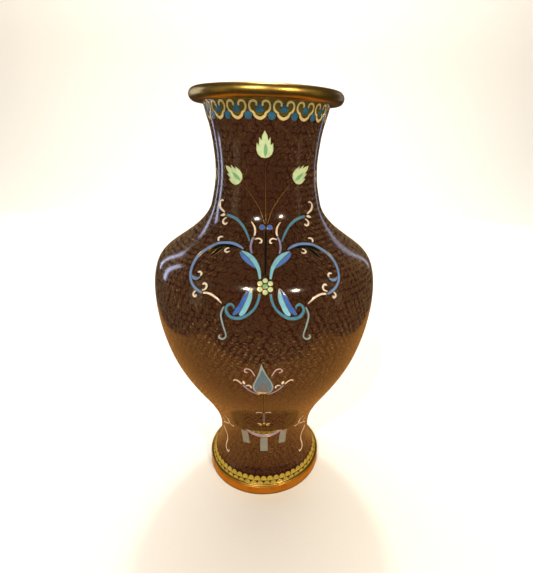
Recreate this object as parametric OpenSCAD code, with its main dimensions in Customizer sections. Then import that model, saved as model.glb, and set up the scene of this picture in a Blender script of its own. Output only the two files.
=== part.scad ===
// Cloisonne baluster vase with a gilt mouth ring and a gilt foot ring.
// Millimetres, +Z up. The origin is the centre of the foot ring's underside.
// The copper body is raised in four sections and soldered edge to edge. It is lined with enamel
// inside, coated with dark enamel outside, and the ornament stands on that coat.

/* [Body] */
// Height from the table to the top of the mouth ring
height = 300; // [285:1:330]
// Outside diameter of the belly over the enamel
belly_d = 162.6; // [140:0.2:190]
// Height of the widest turn of the belly
belly_z = 167; // [155:1:176]
// Outside diameter of the waist above the foot
waist_d = 75.8; // [70:0.2:88]
// Height of the waist
waist_z = 38; // [34:1:44]
// Outside diameter of the narrowest turn of the neck
neck_d = 69.4; // [62:0.2:76]
// Height of the narrowest turn of the neck
neck_z = 252; // [246:1:256]
// Outside diameter of the neck where it meets the mouth ring
lip_d = 83.6; // [80:0.2:88]

/* [Walls] */
// Thickness of the copper body
copper_t = 1.2; // [0.8:0.1:1.6]
// Thickness of the ground enamel
enamel_t = 1.0; // [0.6:0.1:1.2]
// Thickness of the lining enamel
lining_t = 0.5; // [0.3:0.1:0.8]
// Height of the ornament above the ground enamel
relief = 0.4; // [0.3:0.1:0.6]
// Length of each soldered seam along the wall
solder_w = 0.5; // [0.4:0.1:1]

/* [Mouth ring] */
// Diameter of the mouth ring along its middle line
ring_d = 92; // [91:0.5:96]
// Thickness of the mouth ring's round section
ring_t = 8.2; // [7.6:0.1:8.8]

/* [Foot] */
// Outside diameter of the foot ring
foot_d = 96.6; // [94:0.2:100]
// Height of the foot ring's plain band
foot_h = 8; // [7:0.5:9]
// Radial width of the foot ring where it rests
foot_w = 4.6; // [4:0.1:6]
// Thickness of the bead wire on top of the foot ring
bead_t = 1.8; // [1.4:0.1:2]
// Height of the recess under the base plate
recess_h = 5; // [4:0.5:6]
// Thickness of the base plate
base_t = 1; // [0.8:0.1:1.5]

/* [Borders] */
// Height of the lower edge of the collar
collar_z = 281.5; // [278:0.5:282]
// Number of cloud heads round the collar
cloud_count = 18; // [12:1:18]
// Number of lappets round the foot
lappet_count = 54; // [40:1:56]

/* [Ornament] */
// Height of the flower at the middle of the main ornament
flower_z = 193.1; // [186:0.1:196]
// Turn of the collar's first cloud head from the front line
collar_turn = -5.1; // [-10:0.1:10]
// Thickness of the gilt wire round each cell
wire_t = 0.45; // [0.3:0.05:0.6]

/* [Hidden] */
$fn = 120;

copper = "#b8773c";
gilt = "#c9962f";
ground = "#3a1a10";
cream = "#e8d3b4";
steel_blue = "#7895c4";

// Radii and heights that follow from the driving sizes
ring_z = height - ring_t / 2;
ring_r = ring_d / 2;
lip_drop = 2.3;
lip_z = ring_z - lip_drop;
lip_flare = 0.4;
edge_step = 1.6;
edge_z = foot_h + edge_step;
edge_in = 1.9;
edge_r = foot_d / 2 - edge_in;
neck_length = 30;
shoulder_z = neck_z - neck_length;
border_step = 2;
border_z = collar_z + border_step;
body_t = enamel_t + copper_t;
wall_t = body_t + lining_t;
foot_in_r = foot_d / 2 - foot_w;
bead_z = foot_h + bead_t / 2;
bead_r = foot_d / 2 - bead_t / 2;
step_z = 4;
nudge = 0.01;

// Shape of each stretch of the wall: share of its height, share of its change of radius, slope
foot_curve = [[0, 0, 2.2], [0.32, 0.59, 1.5], [1, 1, 0]];
belly_curve = [[0, 0, 0], [0.2, 0.14, 1.37], [0.37, 0.42, 1.88], [0.64, 0.82, 0.98], [1, 1, 0]];
shoulder_curve = [[0, 0, 0], [0.235, 0.06, 0.6], [0.375, 0.255, 2.6], [0.54, 0.68, 2.05],
    [0.72, 0.92, 0.43], [1, 1, 0]];
lip_curve = [[0, 0, 0], [0.43, 0.21, 0.74], [1, 1, 1.47]];

// A cubic through the stations of a curve, with the slope that each station states
function eased(c, t) =
    let (k = max([for (i = [0:len(c) - 2]) if (c[i][0] <= t || i == 0) i]))
    let (a = c[k], b = c[k + 1], h = b[0] - a[0], s = (t - a[0]) / h)
    a[1] * (2 * s * s * s - 3 * s * s + 1) + b[1] * (3 * s * s - 2 * s * s * s)
    + h * (a[2] * (s * s * s - 2 * s * s + s) + b[2] * (s * s * s - s * s));

function stretch(c, z0, r0, z1, r1, z) = r0 + (r1 - r0) * eased(c, (z - z0) / (z1 - z0));

// Outside radius of the ground enamel at a height
function wall_r(z) =
    z < waist_z ? stretch(foot_curve, edge_z, edge_r, waist_z, waist_d / 2, z)
    : z < belly_z ? stretch(belly_curve, waist_z, waist_d / 2, belly_z, belly_d / 2, z)
    : z < neck_z ? stretch(shoulder_curve, belly_z, belly_d / 2, neck_z, neck_d / 2, z)
    : stretch(lip_curve, neck_z, neck_d / 2, lip_z, lip_d / 2, z);

// Change of radius with height
function wall_slope(z) =
    let (a = max(z - nudge, edge_z), b = min(z + nudge, lip_z)) (wall_r(b) - wall_r(a)) / (b - a);

// The point at a depth under the outside of the wall, measured square to it
function under(z, d) =
    let (m = wall_slope(z), q = sqrt(1 + m * m)) [wall_r(z) - d / q, z + d * m / q];

// Heights at which one coat or section ends and the next begins
seams = [waist_z, belly_z, shoulder_z];
marks = concat([edge_z], [for (s = seams) each [s - solder_w / 2, s + solder_w / 2]],
    [border_z, lip_z]);

// Every height at which the wall is drawn, so that touching coats share their corners
heights = concat([for (i = [0:len(marks) - 2])
    let (n = ceil((marks[i + 1] - marks[i]) / step_z))
    for (k = [0:n - 1]) marks[i] + (marks[i + 1] - marks[i]) * k / n], [lip_z]);

function between(z0, z1) = [for (z = heights) if (z > z0 - nudge && z < z1 + nudge) z];

// Half section of a coat from depth d0 to depth d1
module coat_section(z0, z1, d0, d1)
    let (s = between(z0, z1), n = len(s))
    polygon(concat([for (z = s) under(z, d0)], [for (i = [n - 1:-1:0]) under(s[i], d1)]));

module coat(z0, z1, d0, d1) rotate_extrude() coat_section(z0, z1, d0, d1);

// The part of the relief layer that faces azimuth -Y, within a spread to each side
module skin(z0, z1, spread) rotate([0, 0, 270 - spread])
    rotate_extrude(angle = 2 * spread) coat_section(z0 - step_z, z1 + step_z, -relief, 0);

// Height on a drawing plane, leaning back by a tilt, of the wall's front line
function drawn(z, tilt) = z * cos(tilt) - wall_r(z) * sin(tilt);

// Lays a flat drawing on the front of the wall: its origin meets the wall's front line at height z,
// and it may reach below and above that height and to a spread of degrees on each side
module laid(z, tilt, below, above, spread = 50) intersection() {
    rotate([90 - tilt, 0, 0]) translate([0, drawn(z, tilt), 0]) linear_extrude(height) children();
    skin(z - below, z + above, spread);
}

// A smooth line through hand-set points, with the half width of the ribbon as third value
function blend(a, b, c, d, t) =
    0.5 * (2 * b + (c - a) * t + (2 * a - 5 * b + 4 * c - d) * t * t
    + (3 * b - a - 3 * c + d) * t * t * t);
function smooth(p, per = 3) = let (n = len(p) - 1)
    concat([for (i = [0:n - 1]) for (k = [0:per - 1])
        blend(p[max(i - 1, 0)], p[i], p[i + 1], p[min(i + 2, n)], k / per)], [p[n]]);
function xy(p) = [p[0], p[1]];
function unit(v) = v / norm(v);
function heading(s, i) =
    unit(xy(s[min(i + 1, len(s) - 1)]) - xy(s[max(i - 1, 0)]));
function edge(s, side, grow) = [for (i = [0:len(s) - 1])
    let (h = heading(s, i)) xy(s[i]) + side * (max(s[i][2], 0.12) + grow) * [-h[1], h[0]]];
function backwards(v) = [for (i = [len(v) - 1:-1:0]) v[i]];
function outline(p, grow = 0, per = 3) = let (s = smooth(p, per), n = len(s) - 1)
    concat(
        grow > 0 ? [xy(s[0]) - grow * heading(s, 0)] : [],
        edge(s, 1, grow),
        grow > 0 ? [xy(s[n]) + grow * heading(s, n)] : [],
        backwards(edge(s, -1, grow)));

module ribbon(p, grow = 0, per = 3) polygon(outline(p, grow, per));
module both_sides() {
    children();
    mirror([1, 0]) children();
}
module front_and_back() {
    children();
    rotate([0, 0, 180]) children();
}

// ---- Main ornament: points are [across, up, half width] from the flower's middle ----
main_tilt = 30;
main_turn = 0.6;
main_below = 38;
main_above = 48;
petal_r = 1.5;
petal_out = 3.45;
heart_r = 1.45;
upper_leaf = [[3, 4.4, 0.6], [4.1, 10.9, 1.1], [7, 16.6, 1.5], [10.4, 20.4, 1.4], [14.6, 23.5, 0.2]];
lavender_leaf = [[5.7, 11.2, 0.1], [9.6, 15.4, 1.3], [13, 19.2, 1.4], [15.3, 22.6, 0.4]];
arch = [[13.4, 24.6, 0.3], [15.9, 26.7, 0.8], [20.1, 29, 0.9], [25, 29.9, 0.9], [29.9, 29.8, 0.8],
    [35.4, 27.2, 0.9], [40.7, 23.1, 0.9], [43.9, 17, 0.8], [45, 11, 0.7], [44.7, 6.1, 0.7],
    [42.5, 1.6, 0.7], [39, -1.6, 0.7], [37, -2.6, 0.5]];
arch_spur = [[44.2, 8.6, 0.2], [42.6, 6.6, 0.8], [40.4, 6, 0.7], [38.6, 7, 0.3]];
arch_shade = [[15.8, 25.2, 0.1], [19.6, 27, 0.5], [24, 28, 0.8], [28.5, 27.9, 0.8], [32.6, 26.5, 0.6],
    [35.6, 24.9, 0.1]];
dark_leaf = [[24.8, 27.2, 0.1], [27.2, 26, 0.6], [29.5, 24.4, 0.8], [32, 22.2, 0.7],
    [34.8, 19.4, 0.1]];
lower_scroll = [[3.1, -4.4, 0.6], [4, -8.5, 0.7], [6.2, -12.7, 0.7], [10, -16, 0.8],
    [14.4, -17.8, 0.9], [19.5, -17.2, 0.9], [22.3, -14.2, 0.8], [22.1, -11.2, 0.7], [20, -9.8, 0.7],
    [18, -11, 0.5], [18.1, -12.4, 0.3]];
royal_leaf = [[8.1, -0.9, 0.1], [10.9, -5.3, 1.1], [13.7, -10.6, 1.3], [15.9, -13.6, 1.5],
    [18.4, -15.7, 0.5]];
turquoise_leaf = [[7.8, -1.4, 0.1], [8.7, -6.4, 1.3], [10.9, -11.5, 1.5], [12.9, -14.6, 1.5],
    [14.6, -16.2, 0.6]];
tail = [[23.7, -11.2, 0.4], [25.6, -15.4, 0.5], [24.7, -20.9, 0.5], [23.3, -25.6, 0.4],
    [23.1, -28.1, 0.4], [25.2, -29.5, 0.5], [27.3, -28.2, 0.5], [26.4, -26.8, 0.3]];
violet_stem = [[8.2, 21.6, 0.5], [9.1, 25.2, 0.6], [8.6, 29.8, 0.6], [7.3, 33, 0.5]];
teal_scroll = [[9.9, 30, 0.4], [11.5, 34.9, 0.6], [14.5, 41.1, 0.7], [19, 46.3, 0.8],
    [25, 50, 0.7]];
cream_sprig = [[7.1, 33.8, 0.5], [6.6, 36.5, 0.6], [7.1, 39.9, 0.5], [9, 43.4, 0.2]];
sprig_curl = [[6.8, 31.4, 0.3], [4.2, 31.9, 0.5], [2.6, 30.6, 0.5], [2.8, 29, 0.5], [4, 28.8, 0.3]];
end_petal = [[26.2, 50.3, 0.4], [27.8, 50.6, 0.9], [29.6, 50.5, 0.1]];
end_curl = [[25.2, 48.2, 0.4], [27.2, 47.1, 0.5], [27.4, 44.8, 0.6], [25.8, 43.6, 0.6],
    [24.7, 44.5, 0.4]];
end_whip = [[26.6, 52, 0.4], [29.6, 55.9, 0.6], [30.2, 59.4, 0.6], [28.6, 60.5, 0.5],
    [27.5, 59.6, 0.3]];
arch_curl = [[29.3, 31.6, 0.4], [29.8, 33.5, 0.6], [28.3, 34.7, 0.6], [26.8, 34.2, 0.3]];
under_curl = [[22.4, 26, 0.3], [24, 25.4, 0.5], [24.8, 24, 0.6], [23.4, 22.8, 0.5], [21.8, 23.5, 0.3]];
side_curl = [[38.3, 7.6, 0.4], [37.9, 9, 0.6], [39, 10.3, 0.6], [40.3, 10, 0.4]];
tail_curl = [[37, -1.2, 0.3], [34.9, -0.6, 0.5], [34.2, 1.4, 0.6], [35.5, 2.8, 0.6], [36.7, 2.2, 0.4]];
drop_curl = [[41, -1.2, 0.3], [42.4, -2.4, 0.5], [42.4, -3.9, 0.6], [41.2, -4.5, 0.6],
    [40.6, -3.4, 0.4]];
cream_tail = [[36.3, -2.8, 0.5], [33.1, -3.2, 0.6], [29.1, -5.4, 0.6], [25, -9.2, 0.2]];
cream_lines = [cream_sprig, sprig_curl, end_petal, end_curl, end_whip, arch_curl, under_curl,
    side_curl, tail_curl, drop_curl, cream_tail];
bow_lobe = [[0.5, 39.4, 0.4], [1.5, 39.5, 1.4], [2.8, 39.5, 1.7], [4.1, 39.4, 0.5]];
bow_stem = [[0, 6.6, 0.5], [0, 20, 0.7], [0, 37, 0.7]];
fine_wire = 0.2;
bud_wire = [[0, 42, fine_wire], [-0.4, 60, fine_wire], [-0.6, 76, fine_wire]];
side_bud_wire = [[0.9, 42, fine_wire], [4.2, 51.4, fine_wire], [10.1, 60.4, fine_wire],
    [14.8, 66.4, fine_wire]];

module main_drawing()
    rotate([0, 0, main_turn]) laid(flower_z, main_tilt, main_below, main_above) children();
module main_ornament(p) front_and_back() main_drawing() both_sides() ribbon(p);

// ---- Flame buds on the neck: height, turn and lean of each ----
bud_places = [[268, -1, 0], [250.3, -36, 55], [251.3, 40, -55]];
bud_reach = 12;
bud_spread = 22;
bud_half = [[0, -7.4], [2.3, -7], [4.3, -5.2], [5.1, -2.6], [4.9, 1.4], [3.5, -0.4], [3.4, 4.6],
    [2, 2.6], [1.6, 5.2], [0, 8.2]];
bud_outline = concat(bud_half, [for (i = [len(bud_half) - 2:-1:1]) [-bud_half[i][0], bud_half[i][1]]]);
heart_line = [[0.3, -6.6, 0.1], [0.4, -4, 1], [0.5, -1.6, 0.9], [0.4, 1, 0.1]];
module at_buds() front_and_back() for (p = bud_places) rotate([0, 0, p[1]])
    laid(p[0], 0, bud_reach, bud_reach, bud_spread) rotate(p[2]) children();

// ---- Teardrop bud low on the belly, and the pendant at the waist ----
drop_z = 117;
drop_tilt = -20;
drop_below = 32;
drop_above = 36;
drop_line = [[0, 0.4, 1.6], [0, 2, 4.9], [-0.1, 5, 6.4], [-0.2, 8.6, 6.5], [-0.3, 13, 5.1],
    [-0.6, 18, 3], [-0.9, 23, 1.4], [-1.2, 27.8, 0.1]];
body_line = [[0, 1.3, 1.2], [0, 2.6, 4.1], [-0.1, 5.2, 5.4], [-0.2, 8.6, 5.5], [-0.3, 13, 4.2],
    [-0.5, 17.6, 2.3], [-0.8, 23.4, 0.1]];
core_line = [[0, 1.9, 0.9], [0, 3, 2.9], [-0.1, 5.2, 3.4], [-0.3, 9, 2.4], [-0.6, 14.2, 0.1]];
drop_stem = [[0, -0.6, 0.6], [0, -13, 0.8], [0, -26.4, 0.6]];
lavender_curl = [[5.2, 17.6, 0.3], [7.6, 22.4, 0.4], [10.6, 23.2, 0.4], [11.6, 21, 0.4],
    [9.8, 20, 0.3]];
base_arc = [[2.4, -0.6, 0.2], [6.4, 1.2, 0.4], [10, 4.2, 0.5], [13, 8, 0.4]];
outer_curl = [[13.8, 9, 0.4], [15.8, 11.2, 0.4], [17.8, 12, 0.4], [18.9, 10.6, 0.3]];
small_bud = [[12, 9, 0.3], [12.4, 10.6, 0.9], [12.6, 12.2, 0.2]];
inner_curl = [[11.2, 7.4, 0.3], [9.6, 8.4, 0.4], [7.9, 7.4, 0.4], [8, 5.8, 0.4]];
moustache_z = 91.5;
moustache = [[0.9, 0, 0.2], [2.6, 1.1, 0.4], [4.4, 1, 0.4], [5.2, -0.6, 0.2]];
pendant_stem = [[0, -1.2, 0.4], [0, -10, 0.7], [0, -18.2, 0.6]];
half_flower_z = 71.6;
half_petals = [[[0.2, 0.2, 0.2], [0.2, 1.6, 0.9], [0.2, 3, 0.2]],
    [[1.6, 0, 0.2], [3.2, 1, 0.8], [4.8, 1.6, 0.2]],
    [[1.6, -1.1, 0.2], [2.6, -1.6, 0.7], [4, -1.4, 0.2]]];
pendant_below = 24;
pendant_above = 10;
pendant_z = 57;
crescent = [[-14, 2.2, 0.1], [-10, 0.3, 2.1], [-5, -0.8, 3.3], [0, -1.1, 3.6], [5, -0.8, 3.3],
    [10, 0.3, 2.1], [14, 2.2, 0.1]];
lens = [[-11, 2.3, 0.2], [-8.6, 1.7, 1.2], [-5, 1, 1.9], [0, 0.6, 2.3], [5, 1, 1.9],
    [8.6, 1.7, 1.2], [11, 2.3, 0.2]];
tassel = [[0, 0, 2.7], [0, -7.5, 2.8], [0, -14.9, 2.9]];
tassel_top = -5.8;
tassel_rise = 6.5;
tassel_turn = 22;

module drop_drawing() laid(drop_z, drop_tilt, drop_below, drop_above) children();
module pendant_drawing(z) laid(z, drop_tilt, pendant_below, pendant_above) children();

// ---- Side sprays ----
spray_z = 46;
spray_turn = 50;
spray_below = 28;
spray_above = 30;
spray_spread = 40;
spray_lines = [
    [[10.6, 12.6, 0.5], [9.6, 11.8, 0.5], [7, 12.9, 0.4], [7.7, 16.4, 0.5], [8.8, 21, 0.4],
        [6.5, 23, 0.3]],
    [[5.4, 12.4, 0.4], [1.6, 9.9, 0.5], [-0.9, 9.4, 0.5], [-5.4, 5.4, 0.3]],
    [[0.2, 11.4, 0.3], [-0.5, 13.4, 0.4], [-0.7, 15, 0.3]],
    [[-7.2, -0.4, 0.9], [-7.2, -3, 0.8], [-4.8, -4.6, 0.5], [-2.9, -7.4, 0.5], [-2.8, -12.2, 0.5],
        [-4.4, -17.4, 0.5], [-3.2, -20.8, 0.5], [0.2, -21.8, 0.5], [1, -19.6, 0.2]]];
neck_spray_z = 247;
neck_spray_below = 12;
neck_spray_above = 14;
neck_spray = [[1, -3, 0.3], [6, -4.6, 0.4], [11, -1.4, 0.5], [13, 2.6, 0.4], [11.4, 5, 0.4],
    [9.4, 3.4, 0.3]];
neck_sprig = [[0.9, 0, 0.4], [2.6, 4.6, 0.6], [6.4, 8, 0.5], [8.4, 6.4, 0.3]];

// ---- Collar and foot borders: points from the lower middle of each figure ----
cloud_half = [[0, 0.9, 0.85], [2.7, 2.1, 0.75], [3.5, 3.8, 0.6], [5.2, 5, 0.6], [6, 7.2, 0.6],
    [5.2, 9.3, 0.6], [3.3, 9.9, 0.6], [1.8, 8.8, 0.6], [1.8, 7.3, 0.5]];
cloud_line = concat([for (i = [len(cloud_half) - 1:-1:1])
    [-cloud_half[i][0], cloud_half[i][1], cloud_half[i][2]]], cloud_half);
cloud_pitch = 360 / cloud_count;
cloud_spare = 2;
core_up = 5.9;
core_r = 2.1;
core_lobe = 0.45;
collar_bead_r = 2.2;
collar_bead_up = 2.4;
lappet_pitch = 360 / lappet_count;
lappet_share = 0.92;
lappet_w = 2 * PI * edge_r / lappet_count * lappet_share;
lappet_tilt = 30;
lappet_reach = 6;

module round_collar(phase = 0) for (i = [0:cloud_count - 1])
    rotate([0, 0, collar_turn + (i + phase) * cloud_pitch])
        laid(collar_z, 0, 0, lip_z - collar_z, cloud_pitch / 2 + cloud_spare) children();
module round_foot(phase = 0) for (i = [0:lappet_count - 1])
    rotate([0, 0, (i + phase) * lappet_pitch])
        laid(edge_z, lappet_tilt, 0, lappet_reach, lappet_pitch) children();
function dome(w, base, side, top, n = 8) = concat([[-w / 2, base], [w / 2, base]],
    [for (k = [0:n]) [w / 2 * cos(180 * k / n), side + (top - side) * sin(180 * k / n)]]);

// ==== Copper body ====
// The neck's copper turns outwards above the enamel and ends as a flange in the mouth ring's slot
module lip_section() polygon([under(lip_z, enamel_t),
    [under(lip_z, enamel_t)[0] + lip_flare, ring_z - copper_t / 2],
    [ring_r, ring_z - copper_t / 2], [ring_r, ring_z + copper_t / 2],
    [under(lip_z, body_t)[0], ring_z + copper_t / 2], under(lip_z, body_t)]);
module neck_shell() color(copper) rotate_extrude() {
    coat_section(shoulder_z + solder_w / 2, lip_z, enamel_t, body_t);
    lip_section();
}
module shoulder_shell() color(copper)
    coat(belly_z + solder_w / 2, shoulder_z - solder_w / 2, enamel_t, body_t);
module belly_shell() color(copper)
    coat(waist_z + solder_w / 2, belly_z - solder_w / 2, enamel_t, body_t);
module foot_shell() color(copper) coat(edge_z, waist_z - solder_w / 2, enamel_t, body_t);
module base_plate() color(copper)
    translate([0, 0, recess_h]) cylinder(h = base_t, r = foot_in_r);

// A soldered seam closes the butt joint between two sections
module seam(z) color("silver") coat(z - solder_w / 2, z + solder_w / 2, enamel_t, body_t);
module neck_solder() seam(shoulder_z);
module belly_solder() seam(belly_z);
module waist_solder() seam(waist_z);

// ==== Gilt rings ====
module mouth_ring() color(gilt) rotate_extrude() difference() {
    translate([ring_r, ring_z]) circle(d = ring_t);
    translate([ring_r - ring_t, ring_z - copper_t / 2]) square([ring_t, copper_t]);
    lip_section();
    coat_section(border_z, lip_z, 0, wall_t);
}
module foot_ring() color(gilt) rotate_extrude() difference() {
    polygon([[foot_in_r, 0], [foot_d / 2, 0], [foot_d / 2, foot_h], under(edge_z, 0),
        under(edge_z, wall_t), [foot_in_r, under(edge_z, wall_t)[1]]]);
    translate([bead_r, bead_z]) circle(d = bead_t);
}
module foot_bead() color(gilt) rotate_extrude() translate([bead_r, bead_z]) circle(d = bead_t);

// ==== Fired coats ====
module lining_enamel() color("#5fb0b8") coat(edge_z, lip_z, body_t, wall_t);
module base_lining() color("#5fb0b8")
    translate([0, 0, recess_h + base_t]) cylinder(h = lining_t, r = foot_in_r);
module base_enamel() color("#5fb0b8")
    translate([0, 0, recess_h - lining_t]) cylinder(h = lining_t, r = foot_in_r);
module ground_enamel() color(ground) coat(edge_z, border_z, 0, enamel_t);
module collar_enamel() color("#5d5a24") coat(border_z, lip_z, 0, enamel_t);

// ==== Borders ====
module cloud_frames() color("#d8c080") round_collar() ribbon(cloud_line, 0, 2);
module cloud_cores() color("#2f6f86") round_collar() translate([0, core_up])
    polygon([for (a = [0:15:345]) (core_r + core_lobe * cos(3 * (a - 90))) * [cos(a), sin(a)]]);
module collar_beads() color("#3d7f9c") round_collar(0.5) translate([0, collar_bead_up])
    circle(collar_bead_r, $fn = 12);
module upper_lappets() color("#b8a650") round_foot() polygon(dome(lappet_w, 2.6, 3.6, 6.2));
module lower_lappets() color("#c0aa50") round_foot(0.5) polygon(dome(lappet_w, 0.1, 0.6, 2.3));

// ==== Main ornament ====
module petals(grow = 0) for (a = [30:60:330])
    rotate(a) translate([petal_out, 0]) circle(petal_r + grow, $fn = 12);
module flower_petals() color("#cfdc9e") front_and_back() main_drawing() difference() {
    petals();
    circle(heart_r + wire_t, $fn = 12);
}
module flower_heart() color("#86c98a") front_and_back() main_drawing() circle(heart_r, $fn = 12);
module flower_wires() color(gilt) front_and_back() main_drawing() difference() {
    union() {
        petals(wire_t);
        circle(heart_r + wire_t, $fn = 12);
    }
    difference() {
        petals();
        circle(heart_r + wire_t, $fn = 12);
    }
    circle(heart_r, $fn = 12);
}
module bud_petals() color("#bcd3a0") at_buds() difference() {
    polygon(bud_outline);
    ribbon(heart_line, wire_t);
}
module bud_hearts() color("#6fa878") at_buds() ribbon(heart_line);
module bud_wires() color(gilt) at_buds() difference() {
    ribbon(heart_line, wire_t);
    ribbon(heart_line);
}
module bow_lobes() color("#4a62a8") main_ornament(bow_lobe);
module dark_stems() color("#20262c") front_and_back() {
    main_drawing() ribbon(bow_stem);
    drop_drawing() ribbon(drop_stem);
}
module stem_wires() color(gilt) front_and_back() main_drawing() {
    ribbon(bud_wire);
    both_sides() ribbon(side_bud_wire);
}
module upper_leaves() color("#86c2c4") main_ornament(upper_leaf);
module lavender_leaves() color("#6d86c6") front_and_back() main_drawing() both_sides() difference() {
    ribbon(lavender_leaf);
    ribbon(upper_leaf);
}
module blue_arches() color(steel_blue) front_and_back() main_drawing() both_sides() {
    ribbon(arch);
    ribbon(arch_spur);
}
module dark_leaves() color("#20262c") front_and_back() main_drawing() both_sides() difference() {
    union() {
        ribbon(arch_shade);
        ribbon(dark_leaf);
    }
    ribbon(arch);
}
module lower_scrolls() color("#4f93a0") main_ornament(lower_scroll);
module royal_leaves() color("#4a68b0") front_and_back() main_drawing() both_sides() difference() {
    ribbon(royal_leaf);
    ribbon(lower_scroll);
}
module turquoise_leaves() color("#86c2c4") front_and_back() main_drawing() both_sides() difference() {
    ribbon(turquoise_leaf);
    ribbon(royal_leaf);
    ribbon(lower_scroll);
}
module leaf_wires() color(gilt) front_and_back() main_drawing() both_sides() difference() {
    union() {
        ribbon(royal_leaf, wire_t);
        ribbon(turquoise_leaf, wire_t);
    }
    ribbon(royal_leaf);
    ribbon(turquoise_leaf);
    ribbon(lower_scroll);
}
module teal_scrolls() color("#4f93a0") main_ornament(teal_scroll);
module violet_stems() color("#9aa0c0") {
    main_ornament(violet_stem);
    front_and_back() pendant_drawing(moustache_z) ribbon(pendant_stem);
}
module grey_tails() color("#86a3a0") main_ornament(tail);
module cream_scrolls() color(cream) front_and_back() main_drawing() both_sides()
    for (p = cream_lines) ribbon(p);

// ==== Teardrop bud and pendant ====
module teardrop_rim() color("#9fb8a4") front_and_back() drop_drawing() difference() {
    ribbon(drop_line);
    ribbon(body_line);
}
module teardrop_body() color("#5f8a86") front_and_back() drop_drawing() difference() {
    ribbon(body_line);
    ribbon(core_line);
}
module teardrop_core() color("#6a6f70") front_and_back() drop_drawing() ribbon(core_line);
module teardrop_scrolls() color("#c9aeb4") front_and_back() drop_drawing() both_sides()
    for (p = [lavender_curl, base_arc, outer_curl, small_bud, inner_curl]) ribbon(p);
module pendant_flower() color("#b8b060") front_and_back() {
    pendant_drawing(moustache_z) both_sides() ribbon(moustache);
    pendant_drawing(half_flower_z) {
        ribbon(half_petals[0]);
        both_sides() for (i = [1:2]) ribbon(half_petals[i]);
    }
}
module pendant_crescent() color("#7d7aa0") front_and_back() pendant_drawing(pendant_z) difference() {
    ribbon(crescent);
    ribbon(lens);
}
module pendant_lens() color("#8f9a60") front_and_back() pendant_drawing(pendant_z) ribbon(lens);
module pendant_tassels() color("#6f8a88") front_and_back() for (s = [-1, 0, 1])
    rotate([0, 0, s * tassel_turn]) laid(pendant_z, 0, pendant_below, pendant_above, bud_spread)
        translate([0, tassel_top + abs(s) * tassel_rise]) ribbon(tassel);

// ==== Side sprays ====
module foot_scrolls() color("#c8b9a0") front_and_back() for (s = [0, 1]) mirror([s, 0, 0])
    rotate([0, 0, -spray_turn]) laid(spray_z, 0, spray_below, spray_above, spray_spread)
        for (p = spray_lines) ribbon(p);
module neck_scrolls() color(cream) front_and_back() rotate([0, 0, 90])
    laid(neck_spray_z, 0, neck_spray_below, neck_spray_above, spray_spread) both_sides() {
        ribbon(neck_spray);
        ribbon(neck_sprig);
    }

neck_shell();
shoulder_shell();
belly_shell();
foot_shell();
base_plate();
neck_solder();
belly_solder();
waist_solder();
mouth_ring();
foot_ring();
foot_bead();
lining_enamel();
base_lining();
base_enamel();
ground_enamel();
collar_enamel();
cloud_frames();
cloud_cores();
collar_beads();
upper_lappets();
lower_lappets();
flower_petals();
flower_heart();
flower_wires();
bud_petals();
bud_hearts();
bud_wires();
bow_lobes();
dark_stems();
stem_wires();
upper_leaves();
lavender_leaves();
blue_arches();
dark_leaves();
lower_scrolls();
royal_leaves();
turquoise_leaves();
leaf_wires();
teal_scrolls();
violet_stems();
grey_tails();
cream_scrolls();
teardrop_rim();
teardrop_body();
teardrop_core();
teardrop_scrolls();
pendant_flower();
pendant_crescent();
pendant_lens();
pendant_tassels();
foot_scrolls();
neck_scrolls();
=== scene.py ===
"""Cloisonne baluster vase: polished enamel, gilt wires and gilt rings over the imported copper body.

Drawings of the ornament are in millimetres on flat planes in front of the vase, and are laid on its
wall. Meshes are in metres, +Z up, with the origin under the middle of the foot.
"""

import math

import bpy
import numpy as np
from mathutils import Matrix, Vector


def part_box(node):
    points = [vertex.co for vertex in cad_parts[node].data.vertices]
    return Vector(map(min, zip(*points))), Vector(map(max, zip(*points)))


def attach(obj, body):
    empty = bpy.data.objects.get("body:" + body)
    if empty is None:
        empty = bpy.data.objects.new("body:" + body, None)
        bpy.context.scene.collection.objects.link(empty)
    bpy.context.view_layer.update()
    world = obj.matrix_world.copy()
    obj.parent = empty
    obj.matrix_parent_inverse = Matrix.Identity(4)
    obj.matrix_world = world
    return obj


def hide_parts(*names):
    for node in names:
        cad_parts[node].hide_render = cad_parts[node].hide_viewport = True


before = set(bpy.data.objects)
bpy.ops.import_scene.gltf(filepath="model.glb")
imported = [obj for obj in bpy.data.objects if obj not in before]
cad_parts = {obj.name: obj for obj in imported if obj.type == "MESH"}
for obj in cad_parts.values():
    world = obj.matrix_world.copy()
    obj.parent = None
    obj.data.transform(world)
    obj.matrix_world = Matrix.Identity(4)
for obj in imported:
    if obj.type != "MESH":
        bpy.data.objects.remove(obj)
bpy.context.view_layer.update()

bl_info = {
    "name": "Cloisonne vase",
    "version": (1, 0, 0),
    "blender": (4, 5, 0),
    "location": "3D View > Sidebar > Vase",
    "description": "Lays enamel, gilt wire and gilt rings on a baluster vase",
    "category": "Add Mesh",
}

MM = 0.001
BODY = "root"
BOTH_WAYS = [0, 180]


def linear(hex_code):
    """An sRGB hex colour as linear red, green and blue."""
    parts = [int(hex_code[i : i + 2], 16) / 255 for i in (1, 3, 5)]
    return [p / 12.92 if p <= 0.04045 else ((p + 0.055) / 1.055) ** 2.4 for p in parts]


def node_mm(name):
    """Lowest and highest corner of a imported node, in millimetres."""
    low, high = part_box(name)
    return np.array(low) / MM, np.array(high) / MM


# ---------------------------------------------------------------- sizes and colours


def length(name, description, mm, **more):
    """A size in metres whose default is given in millimetres."""
    return bpy.props.FloatProperty(
        name=name, description=description, default=mm * MM, subtype="DISTANCE",
        unit="LENGTH", precision=5, **more)


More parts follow.
